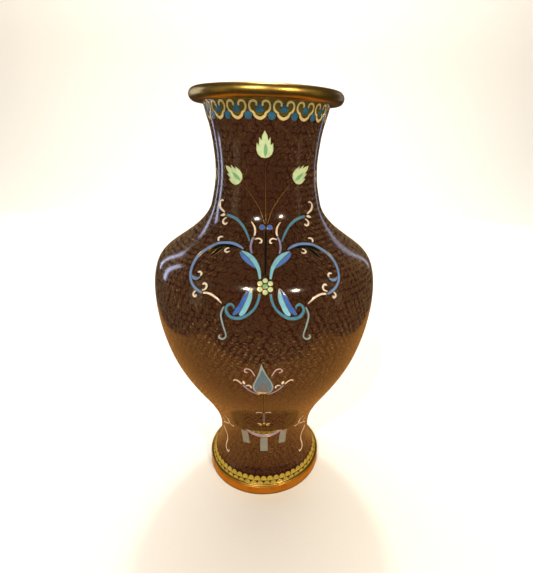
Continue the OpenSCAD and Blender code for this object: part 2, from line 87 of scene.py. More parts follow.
def colour(name, description, hex_code):
    """A colour whose default is given as sRGB hex."""
    return bpy.props.FloatVectorProperty(
        name=name, description=description, default=linear(hex_code), subtype="COLOR",
        min=0.0, max=1.0)


RING_LOW, RING_HIGH = node_mm("mouth_ring")
FOOT_LOW, FOOT_HIGH = node_mm("foot_ring")
BEAD_LOW, BEAD_HIGH = node_mm("foot_bead")
GROUND_LOW, GROUND_HIGH = node_mm("ground_enamel")
COLLAR_LOW, COLLAR_HIGH = node_mm("collar_enamel")


class VaseSizes(bpy.types.PropertyGroup):
    """Sizes of the finish; the shape of the body comes from the frame."""

    waist_radius: length("Waist radius", "Outside radius of the enamelled waist", 37.9)
    waist_height: length("Waist height", "Height of the waist", 38)
    belly_height: length("Belly height", "Height of the widest turn", 167)
    neck_radius: length("Neck radius", "Outside radius of the narrowest turn of the neck", 34.7)
    neck_height: length("Neck height", "Height of the narrowest turn of the neck", 252)
    enamel_depth: length("Enamel depth", "Thickness of the ground enamel", 1.0)
    wall_depth: length("Wall depth", "Enamel, copper and lining together", 2.7)
    relief: length("Relief", "Height of a cell's enamel over the ground", 0.22)
    wire: length("Cell wire", "Thickness of the gilt wire round a cell", 0.22)
    fine_wire: length("Fine wire", "Thickness of the gilt wire along a tendril", 0.15)
    spiral_pitch: length("Spiral pitch", "Distance between the ground spirals", 4.4)
    spiral_wire: length("Spiral wire", "Width of the ground spirals' wire", 0.2)
    spiral_turns: bpy.props.FloatProperty(
        name="Spiral turns", description="Turns in each ground spiral", default=2.3)
    seed: bpy.props.IntProperty(
        name="Seed", description="Start of the random placing of the spirals", default=12)


class VaseColours(bpy.types.PropertyGroup):
    """Colours of the enamels, the gilding and the copper."""

    ground: colour("Ground", "Dark red-brown ground enamel", "#2a120a")
    collar: colour("Collar", "Olive enamel of the collar", "#55501e")
    lining: colour("Lining", "Turquoise lining enamel", "#4f9fa8")
    sand: colour("Sand", "Yellow-cream enamel of the cloud heads", "#cdbb7e")
    lappet: colour("Lappet", "Olive-yellow enamel of the lappets", "#a8963c")
    deep_teal: colour("Deep teal", "Cores and beads of the collar", "#2a6080")
    cream: colour("Cream", "Tendrils", "#e0d6c2")
    petal: colour("Pale green", "Petals and buds", "#bcd2a2")
    leaf_green: colour("Leaf green", "Hearts of the flower and the buds", "#6fae80")
    royal: colour("Royal blue", "Bow and outer halves of the leaves", "#3f64ac")
    steel: colour("Steel blue", "Large arches", "#668abb")
    lobe: colour("Lobe blue", "Lobes of the upper leaves", "#4c74b8")
    lavender: colour("Lavender", "Stems and pendant", "#8686ac")
    turquoise: colour("Turquoise", "Upper leaves and inner halves of the leaves", "#7ab8cc")
    teal: colour("Teal", "Scrolls", "#457f9a")
    grey_green: colour("Grey green", "Tails, tassels and the teardrop's rim", "#82a0a6")
    drop: colour("Drop", "Slate blue of the teardrop", "#466a7e")
    tassel: colour("Tassel", "Grey tassels", "#6f8486")
    slate: colour("Slate", "Core of the teardrop", "#5a6066")
    pink: colour("Pink grey", "Scrolls beside the teardrop", "#b8a0ac")
    black: colour("Near black", "Stems and shading leaves", "#0b0d0f")
    gilt: colour("Gilt", "Gilding of the rings and the wires", "#bc9a4c")
    wire: colour("Ground wire", "Brass wire ground down level with the enamel", "#957a4c")
    copper: colour("Copper", "Copper of the body", "#b4683f")


# ---------------------------------------------------------------- shape of the wall

EDGE_Z = FOOT_HIGH[2]
EDGE_R = FOOT_HIGH[0] - 1.9
LIP_Z = (RING_LOW[2] + RING_HIGH[2]) / 2 - 2.3
LIP_R = COLLAR_HIGH[0]
POLISH_MM = 2.2
TABLE_STEP = 0.25
SPIRAL_RISE = 0.06
ROW_SHARE = 0.87
SPIRAL_STEPS, SPIRAL_PARTS = 21, 5

# Share of a stretch's height, share of its change of radius, and slope
FOOT_CURVE = [(0, 0, 2.2), (0.32, 0.59, 1.5), (1, 1, 0)]
BELLY_CURVE = [(0, 0, 0), (0.2, 0.14, 1.37), (0.37, 0.42, 1.88), (0.64, 0.82, 0.98), (1, 1, 0)]
SHOULDER_CURVE = [(0, 0, 0), (0.235, 0.06, 0.6), (0.375, 0.255, 2.6), (0.54, 0.68, 2.05),
                  (0.72, 0.92, 0.43), (1, 1, 0)]
LIP_CURVE = [(0, 0, 0), (0.43, 0.21, 0.74), (1, 1, 1.47)]


class Wall:
    """Outside of the ground enamel as radius by height, in millimetres.

    Between stations the radius is a cubic that has each station's radius and slope. The curve is
    then averaged over a few millimetres, as grinding and polishing leave it.
    """

    def __init__(self, sizes):
        waist = (sizes.waist_height / MM, sizes.waist_radius / MM)
        belly = (sizes.belly_height / MM, GROUND_HIGH[0] - SPIRAL_RISE)
        neck = (sizes.neck_height / MM, sizes.neck_radius / MM)
        ends = [(EDGE_Z, EDGE_R), waist, belly, neck, (LIP_Z, LIP_R)]
        curves = [FOOT_CURVE, BELLY_CURVE, SHOULDER_CURVE, LIP_CURVE]
        rows = []
        for (z0, r0), (z1, r1), curve in zip(ends[:-1], ends[1:], curves):
            for share, change, slope in curve[:-1]:
                rows.append((z0 + (z1 - z0) * share, r0 + (r1 - r0) * change,
                             slope * (r1 - r0) / (z1 - z0)))
        rows.append((LIP_Z, LIP_R, LIP_CURVE[-1][2] * (LIP_R - neck[1]) / (LIP_Z - neck[0])))
        z, r, m = np.array(rows).T
        self.z = np.arange(EDGE_Z, LIP_Z + TABLE_STEP, TABLE_STEP).clip(EDGE_Z, LIP_Z)
        k = np.clip(np.searchsorted(z, self.z, "right") - 1, 0, len(z) - 2)
        h = z[k + 1] - z[k]
        t = (self.z - z[k]) / h
        exact = (r[k] * (2 * t**3 - 3 * t**2 + 1) + r[k + 1] * (3 * t**2 - 2 * t**3)
                 + h * (m[k] * (t**3 - 2 * t**2 + t) + m[k + 1] * (t**3 - t**2)))
        reach = int(3 * POLISH_MM / TABLE_STEP)
        window = np.exp(-0.5 * (np.arange(-reach, reach + 1) * TABLE_STEP / POLISH_MM) ** 2)
        before = 2 * exact[0] - exact[reach:0:-1]
        after = 2 * exact[-1] - exact[-2 : -reach - 2 : -1]
        padded = np.concatenate([before, exact, after])
        self.r = np.convolve(padded, window / window.sum(), "valid")
        self.m = np.gradient(self.r, self.z)
        self.s = np.concatenate([[0], np.cumsum(np.hypot(np.diff(self.r), np.diff(self.z)))])

    def radius(self, z):
        return np.interp(z, self.z, self.r)

    def slope(self, z):
        return np.interp(z, self.z, self.m)

    def under(self, z, depth):
        """Radius and height of the point at a depth under the outside, measured square to it."""
        m = self.slope(z)
        q = np.sqrt(1 + m * m)
        return self.radius(z) - depth / q, z + depth * m / q


def lift(wall, points, rise):
    """Moves points on the outside of the wall outwards by a rise, square to the wall."""
    z = points[..., 2]
    m = wall.slope(z)
    q = np.sqrt(1 + m * m)
    out = points[..., :2] / np.hypot(points[..., 0], points[..., 1])[..., None]
    square = np.concatenate([out / q[..., None], (-m / q)[..., None]], -1)
    return points + square * np.asarray(rise)[..., None]


class Place:
    """Where a flat drawing is laid: the height of its origin on the front line, tilt and turn."""

    def __init__(self, z, tilt=0.0, turn=0.0, lean=0.0):
        self.z = z
        self.tilt = math.radians(tilt)
        self.turn = math.radians(turn)
        self.lean = math.radians(lean)

    def on_wall(self, wall, u, v, rise):
        """Lays points (u, v) of the drawing on the wall and lifts them by a rise.

        The plane leans back by the tilt. A point goes out along the plane's normal, from inside the
        body, and the place where the line leaves the wall is found by halving.
        """
        u, v = np.asarray(u, float), np.asarray(v, float)
        u, v = (u * math.cos(self.lean) - v * math.sin(self.lean),
                u * math.sin(self.lean) + v * math.cos(self.lean))
        c, s = math.cos(self.tilt), math.sin(self.tilt)
        v = v + self.z * c - wall.radius(self.z) * s
        near = v * s / c
        far = near + 170
        for _ in range(36):
            middle = (near + far) / 2
            inside = np.hypot(u, v * s - middle * c) < wall.radius(v * c + middle * s)
            near = np.where(inside, middle, near)
            far = np.where(inside, far, middle)
        found = lift(wall, np.stack([u, v * s - near * c, v * c + near * s], -1), rise)
        x, y = found[..., 0], found[..., 1]
        a, b = math.cos(self.turn), math.sin(self.turn)
        return np.stack([x * a - y * b, x * b + y * a, found[..., 2]], -1)


# ---------------------------------------------------------------- meshes


class Shape:
    """Points in millimetres and faces, gathered from many small surfaces."""

    def __init__(self):
        self.points = []
        self.faces = []
        self.count = 0

    def add(self, points, faces):
        """Adds points (n, 3) and a list of face arrays that count from the first of them."""
        self.points.append(np.asarray(points, float).reshape(-1, 3))
        self.faces += [np.asarray(f) + self.count for f in faces]
        self.count += len(self.points[-1])
        return self

    def merge(self, other):
        """Adds all of another shape."""
        return self.add(np.concatenate(other.points), other.faces)

    def turned(self, angles):
        """The same shape again at each angle round Z, in degrees, in place of the one."""
        points = np.concatenate(self.points)
        a = np.radians(np.asarray(angles, float))
        x = points[:, 0] * np.cos(a)[:, None] - points[:, 1] * np.sin(a)[:, None]
        y = points[:, 0] * np.sin(a)[:, None] + points[:, 1] * np.cos(a)[:, None]
        z = np.broadcast_to(points[:, 2], x.shape)
        whole = np.stack([x, y, z], -1).reshape(-1, 3)
        shift = np.arange(len(a))[:, None, None] * len(points)
        self.faces = [(f[None] + shift).reshape(-1, f.shape[1]) for f in self.faces]
        self.points, self.count = [whole], len(whole)
        return self

    def piece(self, name, material, slot, *nodes, sharp=38):
        """Makes the mesh object, smooth except at edges sharper than an angle."""
        mesh = bpy.data.meshes.new(name)
        points = np.concatenate(self.points) * MM
        sizes = np.concatenate([np.full(len(f), f.shape[1]) for f in self.faces])
        loops = np.concatenate([f.ravel() for f in self.faces])
        mesh.vertices.add(len(points))
        mesh.vertices.foreach_set("co", points.ravel())
        mesh.loops.add(len(loops))
        mesh.loops.foreach_set("vertex_index", loops.astype(np.int32))
        mesh.polygons.add(len(sizes))
        starts = np.concatenate([[0], np.cumsum(sizes)[:-1]])
        mesh.polygons.foreach_set("loop_start", starts.astype(np.int32))
        mesh.update(calc_edges=True)
        mesh.validate()
        mesh.shade_smooth()
        mesh.set_sharp_from_angle(angle=math.radians(sharp))
        mesh.materials.append(material)
        made = bpy.data.objects.new(name, mesh)
        bpy.context.scene.collection.objects.link(made)
        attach(made, BODY)
        if nodes:
            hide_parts(*nodes)
        return made

    def fired(self, name, key, *nodes, turns=BOTH_WAYS, slot=None):
        """Repeats the shape round the vase and makes it a piece of one enamel, or of gilt wire."""
        shape = self.turned(turns)
        material = gilt() if key == "gilt" else enamel(key)
        return shape.piece(name, material, slot or SLOTS[key], *nodes)


def grid_faces(rows, columns, around=False, along=False):
    """Quads of a grid of points; around joins the last column to the first, along the rows."""
    i = np.arange(rows if along else rows - 1)
    j = np.arange(columns if around else columns - 1)
    i, j = np.meshgrid(i, j, indexing="ij")
    a, b = (i + 1) % rows, (j + 1) % columns
    quads = np.stack([i * columns + j, a * columns + j, a * columns + b, i * columns + b], -1)
    return quads.reshape(-1, 4)


def revolved(section, steps=256):
    """A closed section (n, 2) of radius and height, anticlockwise, turned once round Z."""
    section = np.asarray(section, float)
    a = np.arange(steps) * 2 * np.pi / steps
    r, z = section[:, 0], section[:, 1]
    points = np.stack([r * np.cos(a)[:, None], r * np.sin(a)[:, None],
                       np.broadcast_to(z, (steps, len(z)))], -1)
    return Shape().add(points, [grid_faces(steps, len(section), True, True)])


def disk(radius, low, high, steps=192):
    """A flat disk with one point at the middle of each face."""
    a = np.arange(steps) * 2 * np.pi / steps
    rings = [(radius / 2, high), (radius, high), (radius, low), (radius / 2, low)]
    points = np.array([[[r * np.cos(t), r * np.sin(t), z] for t in a] for r, z in rings])
    j = np.arange(steps)
    after, middle = (j + 1) % steps, 4 * steps
    top = np.stack([j, after, np.full(steps, middle)], -1)
    base = np.stack([3 * steps + after, 3 * steps + j, np.full(steps, middle + 1)], -1)
    points = np.vstack([points.reshape(-1, 3), [[0, 0, high], [0, 0, low]]])
    return Shape().add(points, [grid_faces(4, steps, True), top, base])


def smooth(points, per=6):
    """A Catmull-Rom line through given points [across, up, half width]."""
    p = np.asarray(points, float)
    p = np.vstack([p[:1], p, p[-1:]])
    t = np.arange(per)[:, None, None] / per
    a, b, c, d = p[None, :-3], p[None, 1:-2], p[None, 2:-1], p[None, 3:]
    line = 0.5 * (2 * b + (c - a) * t + (2 * a - 5 * b + 4 * c - d) * t**2
                  + (3 * b - a - 3 * c + d) * t**3)
    return np.vstack([line.transpose(1, 0, 2).reshape(-1, p.shape[1]), p[-1:]])


def headings(line, closed=False):
    """Unit headings along a line of points (n, 2)."""
    if closed:
        way = np.roll(line, -1, 0) - np.roll(line, 1, 0)
    else:
        way = np.gradient(line, axis=0)
    return way / np.maximum(np.linalg.norm(way, axis=1, keepdims=True), 1e-9)


SINK = -0.35
SECTION_ACROSS = np.array([-1, -1, -0.72, -0.3, 0.3, 0.72, 1, 1])
SECTION_RISE = np.array([0, 0.55, 0.85, 1, 1, 0.85, 0.55, 0])
MIN_HALF = 0.08


def ribbon(shape, wall, place, points, relief):
    """A ribbon of enamel: a low arch, as wide as the third value says, carried along the line."""
    line = smooth(points)
    way = headings(line[:, :2])
    left = np.stack([-way[:, 1], way[:, 0]], -1)
    half = np.maximum(line[:, 2], MIN_HALF)
    u = line[:, :1] + left[:, :1] * half[:, None] * SECTION_ACROSS
    v = line[:, 1:2] + left[:, 1:] * half[:, None] * SECTION_ACROSS
    rise = np.where(SECTION_RISE > 0, SECTION_RISE * relief, SINK) * np.ones_like(u)
    columns = len(SECTION_ACROSS)
    ends = [np.arange(columns)[None], (len(line) - 1) * columns + np.arange(columns)[None, ::-1]]
    shape.add(place.on_wall(wall, u, v, rise), [grid_faces(len(line), columns, True)] + ends)


def ribbon_outline(points, grow=0.0):
    """Both edges of a ribbon as one closed line, anticlockwise."""
    line = smooth(points)
    way = headings(line[:, :2])
    left = np.stack([-way[:, 1], way[:, 0]], -1)
    half = np.maximum(line[:, 2:], MIN_HALF) + grow
    return np.vstack([line[:, :2] - left * half, (line[:, :2] + left * half)[::-1]])


RING_SCALE = np.array([0.3, 0.62, 0.86, 1.0, 1.0])
RING_RISE = np.array([1.0, 0.97, 0.82, 0.55, 0.0])


def medallion(shape, wall, place, outline, middle, relief):
    """A domed cell: rings that shrink from a closed outline towards a point in its middle."""
    outline, middle = np.asarray(outline, float), np.asarray(middle, float)
    n = len(outline)
    rings = middle + RING_SCALE[:, None, None] * (outline - middle)
    rise = np.where(RING_RISE > 0, RING_RISE * relief, SINK)[:, None] * np.ones(n)
    flat = np.vstack([rings.reshape(-1, 2), middle, middle])
    heights = np.concatenate([rise.ravel(), [relief, SINK]])
    j = np.arange(n)
    after = (j + 1) % n
    top, last = len(RING_SCALE) * n, (len(RING_SCALE) - 1) * n
    fans = np.vstack([np.stack([np.full(n, top), j, after], -1),
                      np.stack([np.full(n, top + 1), last + after, last + j], -1)])
    shape.add(place.on_wall(wall, flat[:, 0], flat[:, 1], heights),
              [grid_faces(len(RING_SCALE), n, True), fans])


def wire_round(shape, wall, place, outline, thickness, height, sides=6, closed=True):
    """A round wire along a line on the wall: a circle carried along it, half sunk in the enamel."""
    line = np.asarray(outline, float)
    way = headings(line, closed)
    left = np.stack([-way[:, 1], way[:, 0]], -1)
    a = np.arange(sides) * 2 * np.pi / sides
    u = line[:, :1] - left[:, :1] * thickness / 2 * np.cos(a)
    v = line[:, 1:] - left[:, 1:] * thickness / 2 * np.cos(a)
    rise = height + thickness / 2 * np.sin(a) * np.ones_like(u)
    faces = [grid_faces(len(line), sides, True, closed)]
    if not closed:
        faces += [np.arange(sides)[None], (len(line) - 1) * sides + np.arange(sides)[None, ::-1]]
    shape.add(place.on_wall(wall, u, v, rise), faces)


def mirrored(points):
    """A drawing's points on the other side of its middle line."""
    return [[-p[0]] + list(p[1:]) for p in points]


# ---------------------------------------------------------------- materials


def add(tree, kind, inputs=None, **settings):
    """Adds a node, sets its own properties, and fills its sockets with values or links."""
    made = tree.nodes.new(kind)
    for key, value in settings.items():
        setattr(made, key, value)
    for key, value in (inputs or {}).items():
        if isinstance(value, bpy.types.NodeSocket):
            tree.links.new(value, made.inputs[key])
        else:
            made.inputs[key].default_value = value
    return made


def new_material(name):
    """An empty node material with its output, a principled shader and object coordinates."""
    material = bpy.data.materials.new(name)
    material.use_nodes = True
    tree = material.node_tree
    tree.nodes.clear()
    shader = add(tree, "ShaderNodeBsdfPrincipled")
    add(tree, "ShaderNodeOutputMaterial", {"Surface": shader.outputs[0]})
    where = add(tree, "ShaderNodeTexCoord").outputs["Object"]
    return material, tree, shader, where


def shade(rgb, factor):
    return [*(min(1.0, c * factor) for c in rgb), 1.0]


def noise(tree, where, mm, detail=3.0, roughness=0.55):
    """Noise whose grains are a size in millimetres across."""
    return add(tree, "ShaderNodeTexNoise", {"Vector": where, "Scale": 1 / (mm * MM),
                                            "Detail": detail, "Roughness": roughness})


def ramp(tree, factor, low, high):
    """0 below low, 1 above high, straight between."""
    return add(tree, "ShaderNodeMapRange", {"Value": factor, "From Min": low,
                                            "From Max": high}).outputs[0]


def mix_colour(tree, factor, a, b):
    """Mixes two colours; a may be a socket."""
    made = tree.nodes.new("ShaderNodeMix")
    made.data_type = "RGBA"
    tree.links.new(factor, made.inputs[0])
    for socket, value in ((made.inputs[6], a), (made.inputs[7], b)):
        if isinstance(value, bpy.types.NodeSocket):
            tree.links.new(value, socket)
        else:
            socket.default_value = value
    return made.outputs[2]


def solid(hex_code):
    return [*linear(hex_code), 1.0]


def surface(tree, shader, base, roughness, bump=None, metallic=0.0):
    """Fills the shader: roughness is a value or (noise, low, high), bump (noise, mm, strength)."""
    tree.links.new(base, shader.inputs["Base Color"])
    shader.inputs["Metallic"].default_value = metallic
    if isinstance(roughness, tuple):
        source, low, high = roughness
        spread = add(tree, "ShaderNodeMapRange", {"Value": source.outputs[0], "To Min": low,
                                                  "To Max": high})
        tree.links.new(spread.outputs[0], shader.inputs["Roughness"])
    else:
        shader.inputs["Roughness"].default_value = roughness
    if bump:
        source, mm, strength = bump
        made = add(tree, "ShaderNodeBump", {"Height": source.outputs[0], "Distance": mm * MM,
                                            "Strength": strength})
        tree.links.new(made.outputs[0], shader.inputs["Normal"])


def vitreous_enamel(name, rgb, cloud_mm=3.0, speck_mm=0.3, specks=0.22, depth=0.18):
    """Opaque glass fused on copper, ground flat and polished.

    The colour clouds over a few millimetres where the wet-packed grains melted unevenly, fine pits
    and grains stay in it, and the gloss is that of glass, broken a little by the grinding.
    """
    material, tree, shader, where = new_material(name)
    clouds = ramp(tree, noise(tree, where, cloud_mm).outputs[0], 0.3, 0.7)
    base = mix_colour(tree, clouds, shade(rgb, 1 - depth), shade(rgb, 1 + depth * 0.6))
    grains = ramp(tree, noise(tree, where, speck_mm, 2.0).outputs[0], 0.58, 0.72)
    strength = add(tree, "ShaderNodeMath", {0: grains, 1: specks}, operation="MULTIPLY").outputs[0]
    base = mix_colour(tree, strength, base, shade(rgb, 0.35))
    gloss, ripple = noise(tree, where, 1.6), noise(tree, where, 2.4, 2.0)
    surface(tree, shader, base, (gloss, 0.1, 0.24), (ripple, 0.06, 0.5))
    shader.inputs["IOR"].default_value = 1.52
    return material


def ground_enamel(name, rgb):
    """Translucent red-brown enamel fired over copper, which shows through as fine warm grains."""
    material, tree, shader, where = new_material(name)
    clouds = ramp(tree, noise(tree, where, 16, 4.0).outputs[0], 0.35, 0.65)
    base = mix_colour(tree, clouds, shade(rgb, 0.8), shade(rgb, 1.2))
    grains = ramp(tree, noise(tree, where, 0.5, 3.0).outputs[0], 0.5, 0.7)
    warm = add(tree, "ShaderNodeMath", {0: grains, 1: 0.55}, operation="MULTIPLY").outputs[0]
    base = mix_colour(tree, warm, base, solid("#5a3220"))
    pits = ramp(tree, noise(tree, where, 0.8, 2.0).outputs["Color"], 0.58, 0.72)
    base = mix_colour(tree, pits, base, solid("#140806"))
    gloss, ripple = noise(tree, where, 1.2, 3.0), noise(tree, where, 2.6, 2.0)
    surface(tree, shader, base, (gloss, 0.06, 0.18), (ripple, 0.05, 0.5))
    shader.inputs["IOR"].default_value = 1.5
    return material


def gilding(name, rgb, lathe=True, wear=0.35):
    """Fire gilding over turned brass: bright yellow, duller and browner in patches, fine lathe lines."""
    material, tree, shader, where = new_material(name)
    tarnish = ramp(tree, noise(tree, where, 9, 4.0).outputs[0], 0.42, 0.75)
    amount = add(tree, "ShaderNodeMath", {0: tarnish, 1: wear}, operation="MULTIPLY").outputs[0]
    base = mix_colour(tree, amount, shade(rgb, 1.0), solid("#8a5a1c"))
    bump = None
    if lathe:
        parts = add(tree, "ShaderNodeSeparateXYZ", {0: where})
        flat = add(tree, "ShaderNodeCombineXYZ", {0: parts.outputs[0], 1: parts.outputs[1]})
        radius = add(tree, "ShaderNodeVectorMath", {0: flat.outputs[0]}, operation="LENGTH")
        turned = add(tree, "ShaderNodeCombineXYZ", {0: radius.outputs["Value"],
                                                    1: parts.outputs[2]})
        bump = (noise(tree, turned.outputs[0], 0.35, 2.0), 0.008, 0.4)
    surface(tree, shader, base, (noise(tree, where, 3, 3.0), 0.26, 0.42), bump, 1.0)
    return material


def ground_wire(name, rgb):
    """Brass wire ground down level with the enamel: dull, brown and finely scratched."""
    material, tree, shader, where = new_material(name)
    stain = noise(tree, where, 5, 3.0)
    base = mix_colour(tree, stain.outputs[0], shade(rgb, 0.75), shade(rgb, 1.2))
    surface(tree, shader, base, 0.45, metallic=0.7)
    return material


def raised_copper(name, rgb):
    """Copper raised with a hammer and annealed: warm, satin, with soft facets."""
    material, tree, shader, where = new_material(name)
    patches = noise(tree, where, 6, 3.0)
    base = mix_colour(tree, patches.outputs[0], shade(rgb, 0.8), shade(rgb, 1.1))
    surface(tree, shader, base, 0.38, (patches, 0.1, 0.3), 1.0)
    return material


def silver_solder(name):
    """Hard solder filed level: pale grey metal with file marks."""
    material, tree, shader, where = new_material(name)
    marks = noise(tree, where, 0.8, 3.0)
    base = mix_colour(tree, marks.outputs[0], solid("#a8a297"), solid("#d2ccc0"))
    surface(tree, shader, base, 0.35, metallic=1.0)
    return material


def seamless_paper(name):
    """Matt pale paper of a studio sweep, with a faint tooth."""
    material, tree, shader, where = new_material(name)
    tooth = noise(tree, where, 1.5, 2.0)
    base = mix_colour(tree, tooth.outputs[0], solid("#f3efe6"), solid("#faf6ee"))
    surface(tree, shader, base, 0.75)
    return material


# The record's material slot for each colour
SLOTS = {"collar": "collar_olive", "lining": "lining_turquoise", "sand": "sand_yellow",
         "lappet": "olive_yellow", "deep_teal": "deep_teal", "cream": "cream",
         "petal": "pale_green", "leaf_green": "leaf_green", "royal": "royal_blue",
         "steel": "steel_blue", "lobe": "lavender", "lavender": "lavender",
         "turquoise": "turquoise", "teal": "teal", "grey_green": "grey_green", "drop": "teal",
         "tassel": "grey_green", "slate": "slate", "pink": "pink_grey", "black": "near_black",
         "gilt": "gilt"}
ENAMELS = {}


def enamel(key):
    """The enamel of a named colour, made once."""
    if key not in ENAMELS:
        rgb = list(getattr(bpy.context.scene.vase_colours, key))
        ENAMELS[key] = vitreous_enamel("vitreous_enamel_" + key, rgb)
    return ENAMELS[key]


def gilt(key="gilded_brass", lathe=False, wear=0.35):
    """The gilding of a named finish, made once."""
    if key not in ENAMELS:
        ENAMELS[key] = gilding(key, list(bpy.context.scene.vase_colours.gilt), lathe, wear)
    return ENAMELS[key]


# ---------------------------------------------------------------- drawings of the ornament

FLOWER = Place(193.1, 30, 0.6)
PETAL_R, PETAL_OUT, HEART_R, HEART_RISE = 1.5, 3.45, 1.45, 0.08

# Ribbons are points [across, up, half width] from the middle of the place they are laid at
LEAVES = {
    "upper_leaves": ("turquoise", [
        [[3, 4.4, 0.6], [4.1, 10.9, 1.1], [7, 16.6, 1.5], [10.4, 20.4, 1.4], [14.6, 23.5, 0.2]]]),
    "lavender_leaves": ("lobe", [
        [[5.7, 11.2, 0.1], [9.6, 15.4, 1.3], [13, 19.2, 1.4], [15.3, 22.6, 0.4]]]),
    "blue_arches": ("steel", [
        [[13.4, 24.6, 0.3], [15.9, 26.7, 0.8], [20.1, 29, 0.9], [25, 29.9, 0.9],
         [29.9, 29.8, 0.8], [35.4, 27.2, 0.9], [40.7, 23.1, 0.9], [43.9, 17, 0.8], [45, 11, 0.7],
         [44.7, 6.1, 0.7], [42.5, 1.6, 0.7], [39, -1.6, 0.7], [37, -2.6, 0.5]],
        [[44.2, 8.6, 0.2], [42.6, 6.6, 0.8], [40.4, 6, 0.7], [38.6, 7, 0.3]]]),
    "dark_leaves": ("black", [
        [[15.8, 25.2, 0.1], [19.6, 26.8, 0.8], [24, 27.6, 1.1], [28.5, 27.6, 1.1], [32.6, 26.2, 0.9],
         [35.6, 24.4, 0.1]],
        [[24.8, 27.2, 0.1], [27.2, 26, 0.9], [29.5, 24.4, 1.2], [32, 22.2, 1], [34.8, 19.4, 0.1]]]),
    "lower_scrolls": ("teal", [
        [[3.1, -4.4, 0.6], [4, -8.5, 0.7], [6.2, -12.7, 0.7], [10, -16, 0.8], [14.4, -17.8, 0.9],
         [19.5, -17.2, 0.9], [22.3, -14.2, 0.8], [22.1, -11.2, 0.7], [20, -9.8, 0.7],
         [18, -11, 0.5], [18.1, -12.4, 0.3]]]),
    "royal_leaves": ("royal", [
        [[8.1, -0.9, 0.1], [10.9, -5.3, 1.1], [13.7, -10.6, 1.3], [15.9, -13.6, 1.5],
         [18.4, -15.7, 0.5]]]),
    "turquoise_leaves": ("turquoise", [
        [[7.8, -1.4, 0.1], [8.7, -6.4, 1.3], [10.9, -11.5, 1.5], [12.9, -14.6, 1.5],
         [14.6, -16.2, 0.6]]]),
}
TENDRILS = {
    "teal_scrolls": ("teal", [
        [[9.9, 30, 0.4], [11.5, 34.9, 0.6], [14.5, 41.1, 0.7], [19, 46.3, 0.8], [25, 50, 0.7]]]),
    "violet_stems": ("lavender", [
        [[8.2, 21.6, 0.5], [9.1, 25.2, 0.6], [8.6, 29.8, 0.6], [7.3, 33, 0.5]]]),
    "grey_tails": ("grey_green", [
        [[23.7, -11.2, 0.4], [25.6, -15.4, 0.5], [24.7, -20.9, 0.5], [23.3, -25.6, 0.4],
         [23.1, -28.1, 0.4], [25.2, -29.5, 0.5], [27.3, -28.2, 0.5], [26.4, -26.8, 0.3]]]),
    "cream_scrolls": ("cream", [
        [[7.1, 33.8, 0.5], [6.6, 36.5, 0.6], [7.1, 39.9, 0.5], [9, 43.4, 0.2]],
        [[6.8, 31.4, 0.3], [4.2, 31.9, 0.5], [2.6, 30.6, 0.5], [2.8, 29, 0.5], [4, 28.8, 0.3]],
        [[26.2, 50.3, 0.4], [27.8, 50.6, 0.9], [29.6, 50.5, 0.1]],
        [[25.2, 48.2, 0.4], [27.2, 47.1, 0.5], [27.4, 44.8, 0.6], [25.8, 43.6, 0.6],
         [24.7, 44.5, 0.4]],
        [[26.6, 52, 0.4], [29.6, 55.9, 0.6], [30.2, 59.4, 0.6], [28.6, 60.5, 0.5],
         [27.5, 59.6, 0.3]],
        [[29.3, 31.6, 0.4], [29.8, 33.5, 0.6], [28.3, 34.7, 0.6], [26.8, 34.2, 0.3]],
        [[22.4, 26, 0.3], [24, 25.4, 0.5], [24.8, 24, 0.6], [23.4, 22.8, 0.5], [21.8, 23.5, 0.3]],
        [[38.3, 7.6, 0.4], [37.9, 9, 0.6], [39, 10.3, 0.6], [40.3, 10, 0.4]],
        [[37, -1.2, 0.3], [34.9, -0.6, 0.5], [34.2, 1.4, 0.6], [35.5, 2.8, 0.6], [36.7, 2.2, 0.4]],
        [[41, -1.2, 0.3], [42.4, -2.4, 0.5], [42.4, -3.9, 0.6], [41.2, -4.5, 0.6],
         [40.6, -3.4, 0.4]],
        [[36.3, -2.8, 0.5], [33.1, -3.2, 0.6], [29.1, -5.4, 0.6], [25, -9.2, 0.2]]]),
}
BOW = [[0.5, 39.4, 0.4], [1.5, 39.5, 1.4], [2.8, 39.5, 1.7], [4.1, 39.4, 0.5]]
BOW_STEM = [[0, 6.6, 0.5], [0, 20, 0.7], [0, 37, 0.7]]
STEM_SIDE = [[0.9, 42], [4.2, 51.4], [10.1, 60.4], [14.8, 66.4]]
STEM_WIRES = [[[0, 42], [-0.4, 60], [-0.6, 76]], STEM_SIDE,
              [[-u, v] for u, v in STEM_SIDE]]
STEM_SECTION, STEM_RISE = 0.26, 0.05

BUD_PLACES = [Place(268, 0, -1), Place(250.3, 0, -36, 55), Place(251.3, 0, 40, -55)]
BUD_HALF = [[0, -7.4], [2.3, -7], [4.3, -5.2], [5.1, -2.6], [4.9, 1.4], [3.5, -0.4], [3.4, 4.6],
            [2, 2.6], [1.6, 5.2], [0, 8.2]]
BUD_MIDDLE = [0, -3.4]
BUD_HEART = [[0.3, -6.6, 0.1], [0.4, -4, 1], [0.5, -1.6, 0.9], [0.4, 1, 0.1]]

